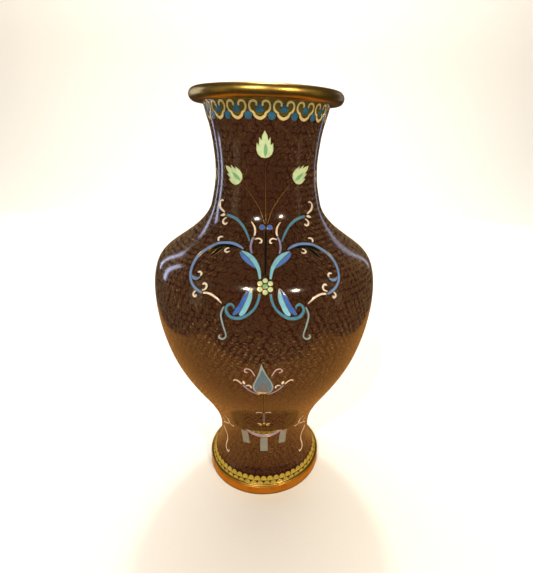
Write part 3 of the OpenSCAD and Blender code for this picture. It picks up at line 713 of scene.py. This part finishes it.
DROP = Place(117, -20)
DROP_LINE = [[0, 0.4, 1.6], [0, 2, 4.9], [-0.1, 5, 6.4], [-0.2, 8.6, 6.5], [-0.3, 13, 5.1],
             [-0.6, 18, 3], [-0.9, 23, 1.4], [-1.2, 27.8, 0.1]]
DROP_BODY = [[0, 1.3, 1.2], [0, 2.6, 4.1], [-0.1, 5.2, 5.4], [-0.2, 8.6, 5.5], [-0.3, 13, 4.2],
             [-0.5, 17.6, 2.3], [-0.8, 23.4, 0.1]]
DROP_CORE = [[0, 1.9, 0.9], [0, 3, 2.9], [-0.1, 5.2, 3.4], [-0.3, 9, 2.4], [-0.6, 14.2, 0.1]]
DROP_STEM = [[0, -0.6, 0.6], [0, -13, 0.8], [0, -26.4, 0.6]]
DROP_SCROLLS = [
    [[5.2, 17.6, 0.3], [7.6, 22.4, 0.4], [10.6, 23.2, 0.4], [11.6, 21, 0.4], [9.8, 20, 0.3]],
    [[2.4, -0.6, 0.2], [6.4, 1.2, 0.4], [10, 4.2, 0.5], [13, 8, 0.4]]]
DROP_CURLS = [
    [[13.8, 9, 0.4], [15.8, 11.2, 0.4], [17.8, 12, 0.4], [18.9, 10.6, 0.3]],
    [[12, 9, 0.3], [12.4, 10.6, 0.9], [12.6, 12.2, 0.2]],
    [[11.2, 7.4, 0.3], [9.6, 8.4, 0.4], [7.9, 7.4, 0.4], [8, 5.8, 0.4]]]
MOUSTACHE_PLACE = Place(91.5, -20)
MOUSTACHE = [[0.9, 0, 0.2], [2.6, 1.1, 0.4], [4.4, 1, 0.4], [5.2, -0.6, 0.2]]
PENDANT_STEM = [[0, -1.2, 0.4], [0, -10, 0.7], [0, -18.2, 0.6]]
HALF_FLOWER_PLACE = Place(71.6, -20)
HALF_FLOWER = [
    [[0.2, 0.2, 0.2], [0.2, 1.6, 0.9], [0.2, 3, 0.2]],
    [[1.6, 0, 0.2], [3.2, 1, 0.8], [4.8, 1.6, 0.2]],
    [[1.6, -1.1, 0.2], [2.6, -1.6, 0.7], [4, -1.4, 0.2]]]
PENDANT = Place(57, -20)
CRESCENT = [[-14, 2.2, 0.1], [-10, 0.3, 2.1], [-5, -0.8, 3.3], [0, -1.1, 3.6], [5, -0.8, 3.3],
            [10, 0.3, 2.1], [14, 2.2, 0.1]]
LENS = [[-11, 2.3, 0.2], [-8.6, 1.7, 1.2], [-5, 1, 1.9], [0, 0.6, 2.3], [5, 1, 1.9],
        [8.6, 1.7, 1.2], [11, 2.3, 0.2]]
LENS_DOTS = [-8, -4, 0, 4, 8]
DOT_R, DOT_UP, DOT_SAG = 0.55, 0.8, 0.012
TASSEL = [[0, 0, 2.7], [0, -7.5, 2.8], [0, -14.9, 2.9]]
TASSEL_TURN, TASSEL_TOP, TASSEL_RISE = 22, -5.8, 6.5
THREADS = [-1.8, -0.9, 0, 0.9, 1.8]

SPRAY_Z, SPRAY_TURN = 46, 50
SPRAY = [
    [[10.6, 12.6, 0.5], [9.6, 11.8, 0.5], [7, 12.9, 0.4], [7.7, 16.4, 0.5], [8.8, 21, 0.4],
     [6.5, 23, 0.3]],
    [[5.4, 12.4, 0.4], [1.6, 9.9, 0.5], [-0.9, 9.4, 0.5], [-5.4, 5.4, 0.3]],
    [[0.2, 11.4, 0.3], [-0.5, 13.4, 0.4], [-0.7, 15, 0.3]],
    [[-7.2, -0.4, 0.9], [-7.2, -3, 0.8], [-4.8, -4.6, 0.5], [-2.9, -7.4, 0.5], [-2.8, -12.2, 0.5],
     [-4.4, -17.4, 0.5], [-3.2, -20.8, 0.5], [0.2, -21.8, 0.5], [1, -19.6, 0.2]]]
NECK_SPRAY_PLACE = Place(247, 0, 90)
NECK_SPRAY = [
    [[1, -3, 0.3], [6, -4.6, 0.4], [11, -1.4, 0.5], [13, 2.6, 0.4], [11.4, 5, 0.4],
     [9.4, 3.4, 0.3]],
    [[0.9, 0, 0.4], [2.6, 4.6, 0.6], [6.4, 8, 0.5], [8.4, 6.4, 0.3]]]

CLOUD_COUNT, COLLAR_TURN = 18, -5.1
CLOUD_HALF = [[0, 0.9, 0.85], [2.7, 2.1, 0.75], [3.5, 3.8, 0.6], [5.2, 5, 0.6], [6, 7.2, 0.6],
              [5.2, 9.3, 0.6], [3.3, 9.9, 0.6], [1.8, 8.8, 0.6], [1.8, 7.3, 0.5]]
CORE_UP, CORE_R, CORE_LOBE = 5.9, 2.1, 0.45
COLLAR_BEAD_R, COLLAR_BEAD_UP = 2.2, 2.4
COLLAR_Z = COLLAR_LOW[2] - 2
LAPPET_COUNT, LAPPET_FILL = 54, 0.92


def circle(radius, middle=(0, 0), steps=20):
    a = np.arange(steps) * 2 * np.pi / steps
    return np.stack([middle[0] + radius * np.cos(a), middle[1] + radius * np.sin(a)], -1)


def both_halves(half):
    """A closed outline from its right half, which runs from bottom to top."""
    half = np.asarray(half, float)
    return np.vstack([half, half[-2:0:-1] * [-1, 1]])


class Bench:
    """What an operator works with: the wall, the sizes in millimetres, and the wire's own shape."""

    def __init__(self):
        sizes = bpy.context.scene.vase_sizes
        self.sizes = sizes
        self.wall = Wall(sizes)
        self.relief = sizes.relief / MM
        self.wire = sizes.wire / MM
        self.fine = sizes.fine_wire / MM

    def ribbons(self, place, lines, wires, mirror=True, thickness=None):
        """Enamel ribbons with wires round them, each drawn on one or both sides."""
        shape = Shape()
        thickness = self.wire if thickness is None else thickness
        for line in lines:
            for way in (line, mirrored(line)) if mirror else (line,):
                ribbon(shape, self.wall, place, way, self.relief)
                wire_round(wires, self.wall, place, ribbon_outline(way, thickness * 0.3),
                           thickness, self.relief * 0.6)
        return shape

    def cells(self, place, outlines, wires, middle, thickness=None, raised=0.0):
        """Domed cells with wires round them."""
        shape = Shape()
        thickness = self.wire if thickness is None else thickness
        for outline in outlines:
            medallion(shape, self.wall, place, outline, middle, self.relief + raised)
            wire_round(wires, self.wall, place, outline, thickness, self.relief * 0.6 + raised)
        return shape


# ---------------------------------------------------------------- operators


class VaseOperator:
    """Shared by every operator of the vase."""

    bl_options = {"REGISTER", "UNDO"}


class VASE_OT_body(VaseOperator, bpy.types.Operator):
    """Coats of enamel: the ground, the collar, the lining and both sides of the base."""

    bl_idname = "vase.body"
    bl_label = "Enamel coats"

    def coat(self, wall, z0, z1, outer, inner, step=1.2):
        """Closed section between two depths, from one height to another."""
        z = np.linspace(z0, z1, max(4, int((z1 - z0) / step)))
        a, b = np.stack(wall.under(z, outer), -1), np.stack(wall.under(z, inner), -1)
        return np.vstack([b, a[::-1]])

    def execute(self, context):
        bench = Bench()
        wall, colours = bench.wall, context.scene.vase_colours
        depth = bench.sizes.enamel_depth / MM
        full = bench.sizes.wall_depth / MM
        border = COLLAR_LOW[2] + 0.4
        ground = ground_enamel("ground_enamel_over_copper", list(colours.ground))
        revolved(self.coat(wall, EDGE_Z, border, 0, depth), 288).piece(
            "ground_enamel", ground, "ground_brown", "ground_enamel")
        revolved(self.coat(wall, border, LIP_Z, 0, depth), 288).piece(
            "collar_enamel", enamel("collar"), "collar_olive", "collar_enamel")
        copper = full - 0.5
        revolved(self.coat(wall, EDGE_Z, LIP_Z, copper, full, 1.6), 192).piece(
            "lining_enamel", enamel("lining"), "lining_turquoise", "lining_enamel")
        for name in ("base_lining", "base_enamel"):
            low, high = node_mm(name)
            disk(high[0], low[2], high[2]).piece(name, enamel("lining"), "lining_turquoise", name)
        return {"FINISHED"}


class VASE_OT_rings(VaseOperator, bpy.types.Operator):
    """Gilt mouth ring, foot ring and bead wire."""

    bl_idname = "vase.rings"
    bl_label = "Gilt rings"

    def execute(self, context):
        bench = Bench()
        turned = gilt("gilded_brass_turned", True, 0.45)
        section = RING_HIGH[2] - RING_LOW[2]
        a = np.arange(72) * 2 * np.pi / 72
        tube = section / 2
        middle = (RING_HIGH[0] - tube, (RING_LOW[2] + RING_HIGH[2]) / 2)
        ring = np.stack([middle[0] + tube * np.cos(a), middle[1] + tube * np.sin(a)], -1)
        revolved(ring[::-1], 320).piece("mouth_ring", turned, "gilt", "mouth_ring", sharp=60)
        bead = BEAD_HIGH[2] - BEAD_LOW[2]
        centre = (BEAD_HIGH[0] - bead / 2, (BEAD_LOW[2] + BEAD_HIGH[2]) / 2)
        wire = np.stack([centre[0] + bead / 2 * np.cos(a[::3]),
                         centre[1] + bead / 2 * np.sin(a[::3])], -1)
        revolved(wire[::-1], 320).piece("foot_bead", gilt("gilded_wire_bright", False, 0.1),
                                        "gilt", "foot_bead", sharp=60)
        outer, band = FOOT_HIGH[0], BEAD_LOW[2]
        inner = node_mm("base_plate")[1][0]
        full = bench.sizes.wall_depth / MM
        seat_out = bench.wall.under(EDGE_Z, 0)
        seat_in = bench.wall.under(EDGE_Z, full)
        soft = 0.5
        k = np.radians(np.arange(0, 91, 15))

        def corner(x, z, sx, sz, start):
            """A quarter turn of the soft edge at a corner of the band."""
            t = k + math.radians(start)
            return np.stack([x - sx * soft + soft * np.cos(t), z - sz * soft + soft * np.sin(t)], -1)

        outline = np.vstack([corner(outer, 0, 1, -1, 270), corner(outer, band, 1, 1, 0),
                             [seat_out], [seat_in], [[inner, seat_in[1]]],
                             [[inner, soft]], [[inner + soft, 0]]])
        revolved(outline[::-1], 320).piece("foot_ring", turned, "gilt", "foot_ring", sharp=30)
        return {"FINISHED"}


class VASE_OT_borders(VaseOperator, bpy.types.Operator):
    """Cloud heads, cores and beads round the collar, and two rows of lappets round the foot."""

    bl_idname = "vase.borders"
    bl_label = "Collar and foot borders"

    def execute(self, context):
        bench = Bench()
        wall, wires = bench.wall, Shape()
        turns = COLLAR_TURN + np.arange(CLOUD_COUNT) * 360 / CLOUD_COUNT
        head = Place(COLLAR_Z)
        line = mirrored(CLOUD_HALF)[:0:-1] + CLOUD_HALF
        frames = bench.ribbons(head, [line], wires, False, bench.fine)
        frames.fired("cloud_frames", "sand", "cloud_frames", turns=turns)
        a = np.radians(np.arange(0, 360, 12))
        trefoil = ((CORE_R + CORE_LOBE * np.cos(3 * (a - np.pi / 2)))[:, None]
                   * np.stack([np.cos(a), np.sin(a)], -1) + [0, CORE_UP])
        cores = bench.cells(head, [trefoil], wires, [0, CORE_UP], bench.fine)
        cores.fired("cloud_cores", "deep_teal", "cloud_cores", turns=turns)
        wires.fired("collar_wires", "gilt", turns=turns)
        bead_wires = Shape()
        middle = [0, COLLAR_BEAD_UP]
        beads = bench.cells(head, [circle(COLLAR_BEAD_R, middle)], bead_wires, middle, bench.fine)
        half = turns + 180 / CLOUD_COUNT
        beads.fired("collar_beads", "deep_teal", "collar_beads", turns=half)
        bead_wires.fired("collar_bead_wires", "gilt", turns=half)

        width = 2 * np.pi * EDGE_R / LAPPET_COUNT * LAPPET_FILL
        foot = Place(EDGE_Z, 30)
        turns = np.arange(LAPPET_COUNT) * 360 / LAPPET_COUNT
        t = np.radians(np.arange(0, 181, 15))
        for name, base, side, top, phase in (("upper_lappets", 2.6, 3.6, 6.2, 0),
                                             ("lower_lappets", 0.1, 0.6, 2.3, 0.5)):
            dome = np.vstack([[[-width / 2, base], [width / 2, base]],
                              np.stack([width / 2 * np.cos(t),
                                        side + (top - side) * np.sin(t)], -1)])
            rim = Shape()
            row = bench.cells(foot, [dome], rim, [0, (base + top) / 2], bench.fine)
            way = turns + phase * 360 / LAPPET_COUNT
            row.fired(name, "lappet", name, turns=way)
            rim.fired(name + "_wires", "gilt", turns=way)
        return {"FINISHED"}


class VASE_OT_main_ornament(VaseOperator, bpy.types.Operator):
    """Flower, leaves, arches, scrolls and stems on the shoulder, front and back."""

    bl_idname = "vase.main_ornament"
    bl_label = "Main ornament"

    def execute(self, context):
        bench = Bench()
        petals, wires = Shape(), Shape()
        for t in np.radians(np.arange(30, 390, 60)):
            middle = [PETAL_OUT * math.cos(t), PETAL_OUT * math.sin(t)]
            petals.merge(bench.cells(FLOWER, [circle(PETAL_R, middle)], wires, middle))
        petals.fired("flower_petals", "petal", "flower_petals")
        heart = bench.cells(FLOWER, [circle(HEART_R)], wires, [0, 0], raised=HEART_RISE)
        heart.fired("flower_heart", "leaf_green", "flower_heart")
        wires.fired("flower_wires", "gilt", "flower_wires")
        leaf_wires, fine = Shape(), Shape()
        for name, (key, lines) in LEAVES.items():
            bench.ribbons(FLOWER, lines, leaf_wires).fired(name, key, name)
        leaf_wires.fired("leaf_wires", "gilt", "leaf_wires")
        for name, (key, lines) in (TENDRILS | {"bow_lobes": ("royal", [BOW])}).items():
            bench.ribbons(FLOWER, lines, fine, thickness=bench.fine).fired(name, key, name)
        fine.fired("tendril_wires", "gilt")
        stems, edges = Shape(), Shape()
        for line in STEM_WIRES:
            wire_round(stems, bench.wall, FLOWER, smooth(line, 12), STEM_SECTION, STEM_RISE,
                       closed=False)
        stems.fired("stem_wires", "gilt", "stem_wires")
        dark = bench.ribbons(FLOWER, [BOW_STEM], edges, False, bench.fine)
        dark.merge(bench.ribbons(DROP, [DROP_STEM], edges, False, bench.fine))
        dark.fired("dark_stems", "black", "dark_stems")
        edges.fired("dark_stem_wires", "gilt")
        return {"FINISHED"}


class VASE_OT_buds(VaseOperator, bpy.types.Operator):
    """Three flame-shaped buds with green hearts on each face of the neck."""

    bl_idname = "vase.buds"
    bl_label = "Neck buds"

    def execute(self, context):
        bench = Bench()
        petals, hearts, wires = Shape(), Shape(), Shape()
        outline = both_halves(BUD_HALF)
        corners = len(outline)
        t = np.arange(corners * 4) / 4
        dense = np.stack([np.interp(t, np.arange(corners + 1), np.append(outline[:, k], outline[0, k]))
                          for k in (0, 1)], -1)
        for place in BUD_PLACES:
            petals.merge(bench.cells(place, [dense], wires, BUD_MIDDLE, bench.fine * 1.3))
            heart = ribbon_outline(BUD_HEART)
            medallion(hearts, bench.wall, place, heart, [0.45, -2.8], bench.relief + 0.1)
            wire_round(wires, bench.wall, place, heart, bench.fine, bench.relief)
        petals.fired("bud_petals", "petal", "bud_petals")
        hearts.fired("bud_hearts", "leaf_green", "bud_hearts")
        wires.fired("bud_wires", "gilt", "bud_wires")
        return {"FINISHED"}


class VASE_OT_low_ornament(VaseOperator, bpy.types.Operator):
    """Teardrop bud low on the belly and the pendant at the waist, front and back."""

    bl_idname = "vase.low_ornament"
    bl_label = "Teardrop and pendant"

    def execute(self, context):
        bench = Bench()
        wires = Shape()
        for name, line, key, raised, middle in (
                ("teardrop_rim", DROP_LINE, "grey_green", 0.0, 8),
                ("teardrop_body", DROP_BODY, "drop", 0.1, 8),
                ("teardrop_core", DROP_CORE, "slate", 0.2, 5)):
            cell = bench.cells(DROP, [ribbon_outline(line)], wires, [0, middle], bench.fine, raised)
            cell.fired(name, key, name)

        def fine(place, lines, mirror=True):
            return bench.ribbons(place, lines, wires, mirror, bench.fine)

        fine(DROP, DROP_SCROLLS[1:]).fired("teardrop_arcs", "lavender", "teardrop_scrolls")
        fine(DROP, DROP_SCROLLS[:1]).fired("teardrop_scrolls", "pink", "teardrop_scrolls")
        fine(DROP, DROP_CURLS).fired("teardrop_curls", "cream", "teardrop_scrolls")
        fine(MOUSTACHE_PLACE, [MOUSTACHE]).fired("pendant_moustache", "cream", "pendant_flower")
        flower = fine(HALF_FLOWER_PLACE, HALF_FLOWER[:1], False)
        flower.merge(fine(HALF_FLOWER_PLACE, HALF_FLOWER[1:]))
        flower.fired("pendant_flower", "sand", "pendant_flower")
        fine(MOUSTACHE_PLACE, [PENDANT_STEM], False).fired("pendant_stem", "slate", "violet_stems")
        lens = bench.cells(PENDANT, [ribbon_outline(LENS)], wires, [0, 0.9], bench.fine, 0.1)
        lens.fired("pendant_lens", "collar", "pendant_lens", slot="leaf_green")
        dots = Shape()
        for u in LENS_DOTS:
            middle = [u, DOT_UP + DOT_SAG * u * u]
            medallion(dots, bench.wall, PENDANT, circle(DOT_R, middle, 10), middle,
                      bench.relief + 0.16)
        dots.fired("pendant_dots", "sand")
        fine(PENDANT, [CRESCENT], False).fired("pendant_crescent", "lavender", "pendant_crescent")
        tassels = Shape()
        for side in (-1, 0, 1):
            place = Place(PENDANT.z, 0, side * TASSEL_TURN)
            top = TASSEL_TOP + abs(side) * TASSEL_RISE
            line = [[u, v + top, half] for u, v, half in TASSEL]
            tassels.merge(fine(place, [line], False))
            for u in THREADS:
                thread = smooth([[u, line[0][1]], [u, line[-1][1]]], 8)
                wire_round(wires, bench.wall, place, thread, bench.fine, bench.relief,
                           closed=False)
        tassels.fired("pendant_tassels", "tassel", "pendant_tassels")
        wires.fired("low_ornament_wires", "gilt")
        return {"FINISHED"}


class VASE_OT_side_sprays(VaseOperator, bpy.types.Operator):
    """Scrolls at the sides of the foot and of the neck."""

    bl_idname = "vase.side_sprays"
    bl_label = "Side sprays"

    def execute(self, context):
        bench = Bench()
        wires, foot = Shape(), Shape()
        for side in (-1, 1):
            place = Place(SPRAY_Z, 0, side * SPRAY_TURN)
            lines = [mirrored(s) for s in SPRAY] if side > 0 else SPRAY
            foot.merge(bench.ribbons(place, lines, wires, False, bench.fine))
        foot.fired("foot_scrolls", "cream", "foot_scrolls")
        neck = bench.ribbons(NECK_SPRAY_PLACE, NECK_SPRAY, wires, thickness=bench.fine)
        neck.fired("neck_scrolls", "cream", "neck_scrolls")
        wires.fired("spray_wires", "gilt")
        return {"FINISHED"}


class VASE_OT_ground_wires(VaseOperator, bpy.types.Operator):
    """Thousands of small gilt spirals that hold the ground enamel."""

    bl_idname = "vase.ground_wires"
    bl_label = "Ground spirals"

    def execute(self, context):
        bench = Bench()
        wall, sizes = bench.wall, bench.sizes
        pitch, width = sizes.spiral_pitch / MM, sizes.spiral_wire / MM
        rng = np.random.default_rng(sizes.seed)
        top = COLLAR_Z - 0.5
        rows = np.arange(np.interp(EDGE_Z + 8, wall.z, wall.s),
                         np.interp(top, wall.z, wall.s), pitch * ROW_SHARE)
        angle, along = [], []
        for row, s in enumerate(rows):
            n = int(round(2 * np.pi * np.interp(s, wall.s, wall.r) / pitch))
            start = row % 2 / 2 + rng.uniform(-0.1, 0.1)
            angle.append((start + np.arange(n) + rng.uniform(-0.12, 0.12, n)) * 2 * np.pi / n)
            along.append(s + rng.uniform(-0.1, 0.1, n) * pitch)
        angle, along = np.concatenate(angle), np.concatenate(along)
        count = len(angle)
        steps = SPIRAL_STEPS
        t = np.linspace(0.12, 1, steps)
        size = pitch * rng.uniform(0.45, 0.54, count)[:, None]
        turns = sizes.spiral_turns * 2 * np.pi * rng.choice([-1, 1], count)[:, None]
        phase = rng.uniform(0, 2 * np.pi, count)[:, None]
        a = size * t * np.cos(turns * t + phase)
        b = size * t * np.sin(turns * t + phase)
        way = np.stack([np.gradient(a, axis=1), np.gradient(b, axis=1)], -1)
        way /= np.linalg.norm(way, axis=-1, keepdims=True)
        left = np.stack([-way[..., 1], way[..., 0]], -1)
        across = np.array([-0.5, 0, 0.5]) * width
        rise = np.array([-0.04, SPIRAL_RISE, -0.04])
        a = a[..., None] + left[..., :1] * across
        b = b[..., None] + left[..., 1:] * across
        s = np.clip(along[:, None, None] + b, wall.s[0], wall.s[-1])
        z = np.interp(s, wall.s, wall.z)
        r = wall.radius(z)
        phi = angle[:, None, None] + a / r
        points = np.stack([r * np.sin(phi), -r * np.cos(phi), z], -1)
        points = lift(wall, points, rise * np.ones_like(z))
        one = grid_faces(steps, 3, True)
        caps = np.array([[0, 1, 2], [(steps - 1) * 3 + 2, (steps - 1) * 3 + 1, (steps - 1) * 3]])
        dull = ground_wire("gilded_wire_ground_down", list(context.scene.vase_colours.wire))
        for part, chosen in enumerate(np.array_split(np.argsort(along), SPIRAL_PARTS)):
            n = len(chosen)
            shift = np.arange(n)[:, None, None] * steps * 3
            shape = Shape().add(points[chosen], [(one + shift).reshape(-1, 4),
                                                 (caps + shift).reshape(-1, 3)])
            shape.piece(f"ground_spirals_{part + 1}", dull, "gilt", sharp=20)
        return {"FINISHED"}


class VASE_OT_copper(VaseOperator, bpy.types.Operator):
    """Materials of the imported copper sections, the base plate and the soldered seams."""

    bl_idname = "vase.copper"
    bl_label = "Copper and solder"

    def execute(self, context):
        copper = raised_copper("raised_copper", list(context.scene.vase_colours.copper))
        solder = silver_solder("silver_solder_filed")
        finishes = dict.fromkeys(("neck_shell", "shoulder_shell", "belly_shell", "foot_shell",
                                  "base_plate"), copper)
        finishes.update(dict.fromkeys(("neck_solder", "belly_solder", "waist_solder"), solder))
        for name, material in finishes.items():
            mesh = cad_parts[name].data
            mesh.materials.clear()
            mesh.materials.append(material)
        return {"FINISHED"}


CAMERA_AZIMUTH = 0.9
CAMERA_DISTANCE, CAMERA_HEIGHT = 0.2857, 0.2745
CAMERA_YAW, CAMERA_PITCH, CAMERA_ROLL = 3.79, 21.94, 1.82
CAMERA_LENS, CAMERA_SHIFT = 24.72, (-0.041, 0.0105)

# Name, place, size, watts and colour of the lights that point at the vase
LIGHTS = [
    ("window_left", (-1.1, 0.5, 0.45), (0.12, 0.8), 2.4, "#cfdcff"),
    ("window_back", (-0.95, 0.85, 0.45), (0.08, 0.8), 1.2, "#cfdcff"),
    ("window_right", (0.85, 0.95, 0.45), (0.1, 0.8), 0.6, "#cfdcff"),
    ("curtain_left", (-1.2, -0.5, 0.5), (0.34, 1.2), 1.1, "#d8cca6"),
    ("curtain_right", (1.1, -0.35, 0.5), (0.16, 1.2), 0.5, "#d8cca6"),
    ("lamp_left", (-0.45, -1.25, 1.3), (0.08, 0.08), 17, "#fff4e6"),
    ("lamp_right", (0.7, -1.1, 1.0), (0.06, 0.06), 12, "#ffecd2"),
    ("overhead", (0.0, 0.9, 1.7), (0.16, 0.1), 12, "#fff8ee"),
]


class VASE_OT_stage(VaseOperator, bpy.types.Operator):
    """Pale paper sweep, soft lights and the camera."""

    bl_idname = "vase.stage"
    bl_label = "Studio"

    def sweep(self):
        """Paper that lies flat in front and curls up behind: a quarter turn between two planes."""
        turn = np.radians(np.linspace(0, 90, 25))
        bend, back, high = 0.6, 1.1, 3.2
        y = np.concatenate([[-3.0, 0.0], back + bend * np.sin(turn), [back + bend]])
        z = np.concatenate([[0.0, 0.0], bend - bend * np.cos(turn), [high]])
        x = np.linspace(-3.5, 3.5, 9)
        points = np.stack([np.broadcast_to(x, (len(y), len(x))),
                           np.broadcast_to(y[:, None], (len(y), len(x))),
                           np.broadcast_to(z[:, None], (len(y), len(x)))], -1)
        mesh = bpy.data.meshes.new("paper_sweep")
        faces = grid_faces(len(y), len(x))[:, ::-1]
        mesh.from_pydata(points.reshape(-1, 3).tolist(), [], faces.tolist())
        mesh.shade_smooth()
        mesh.materials.append(seamless_paper("seamless_paper"))
        paper = bpy.data.objects.new("paper_sweep", mesh)
        bpy.context.scene.collection.objects.link(paper)
        paper.visible_glossy = False

    def light(self, name, place, aim, size, power, hex_code):
        """A softbox at a place, pointing at an aim."""
        lamp = bpy.data.lights.new(name, "AREA")
        lamp.shape = "RECTANGLE"
        lamp.size, lamp.size_y = size
        lamp.energy = power
        lamp.color = linear(hex_code)
        made = bpy.data.objects.new(name, lamp)
        bpy.context.scene.collection.objects.link(made)
        made.location = place
        made.rotation_euler = (Vector(place) - Vector(aim)).to_track_quat("Z", "Y").to_euler()
        return made

    def camera(self):
        """The camera from its azimuth, distance, height, yaw, pitch and roll."""
        azimuth, yaw, pitch, roll = (math.radians(v) for v in (
            CAMERA_AZIMUTH, CAMERA_YAW, CAMERA_PITCH, CAMERA_ROLL))
        forward = np.array([math.sin(yaw) * math.cos(pitch), math.cos(yaw) * math.cos(pitch),
                            -math.sin(pitch)])
        right = np.array([math.cos(yaw), -math.sin(yaw), 0])
        up = np.cross(right, forward)
        right, up = (math.cos(roll) * right + math.sin(roll) * up,
                     math.cos(roll) * up - math.sin(roll) * right)
        data = bpy.data.cameras.new("camera")
        data.lens = CAMERA_LENS
        data.sensor_width = 36
        data.shift_x, data.shift_y = CAMERA_SHIFT
        data.clip_start, data.clip_end = 0.01, 20
        made = bpy.data.objects.new("camera", data)
        bpy.context.scene.collection.objects.link(made)
        axes = Matrix(np.stack([right, up, -forward], 1).tolist()).to_4x4()
        place = Matrix.Translation((0, -CAMERA_DISTANCE, CAMERA_HEIGHT))
        made.matrix_world = Matrix.Rotation(azimuth, 4, "Z") @ place @ axes
        bpy.context.scene.camera = made

    def execute(self, context):
        self.sweep()
        aim = (0, 0, 0.17)
        for name, place, size, power, hex_code in LIGHTS:
            self.light(name, place, aim, size, power, hex_code)
        wash = self.light("paper_light", (0.0, 0.8, 2.2), (0, 1.7, 0.7), (2.6, 0.6), 40, "#ffffff")
        wash.visible_glossy = False
        amber = self.light("amber_card", (0.0, 0.05, 0.001), (0, 0.05, 1), (0.56, 0.48), 0.72,
                           "#ffa636")
        amber.visible_camera = False
        world = bpy.data.worlds.new("studio")
        world.use_nodes = True
        world.node_tree.nodes["Background"].inputs[0].default_value = solid("#b9b0a4")
        world.node_tree.nodes["Background"].inputs[1].default_value = 0.12
        context.scene.world = world
        context.scene.view_settings.view_transform = "Standard"
        self.camera()
        return {"FINISHED"}


class VASE_PT_panel(bpy.types.Panel):
    """Lists the vase's pieces, sizes and colours in the sidebar."""

    bl_idname = "VASE_PT_panel"
    bl_label = "Cloisonne vase"
    bl_space_type = "VIEW_3D"
    bl_region_type = "UI"
    bl_category = "Vase"

    def draw(self, context):
        for operator in OPERATORS:
            self.layout.operator(operator.bl_idname)
        for group in (context.scene.vase_sizes, context.scene.vase_colours):
            box = self.layout.box()
            for key in type(group).__annotations__:
                box.prop(group, key)


OPERATORS = (VASE_OT_copper, VASE_OT_body, VASE_OT_rings, VASE_OT_borders, VASE_OT_main_ornament,
             VASE_OT_buds, VASE_OT_low_ornament, VASE_OT_side_sprays, VASE_OT_ground_wires,
             VASE_OT_stage)
CLASSES = (VaseSizes, VaseColours, *OPERATORS, VASE_PT_panel)


def register():
    for item in CLASSES:
        bpy.utils.register_class(item)
    bpy.types.Scene.vase_sizes = bpy.props.PointerProperty(type=VaseSizes)
    bpy.types.Scene.vase_colours = bpy.props.PointerProperty(type=VaseColours)


def unregister():
    del bpy.types.Scene.vase_sizes
    del bpy.types.Scene.vase_colours
    for item in reversed(CLASSES):
        bpy.utils.unregister_class(item)


def main():
    register()
    for operator in OPERATORS:
        group, name = operator.bl_idname.split(".")
        getattr(getattr(bpy.ops, group), name)()


if __name__ == "__main__":
    main()
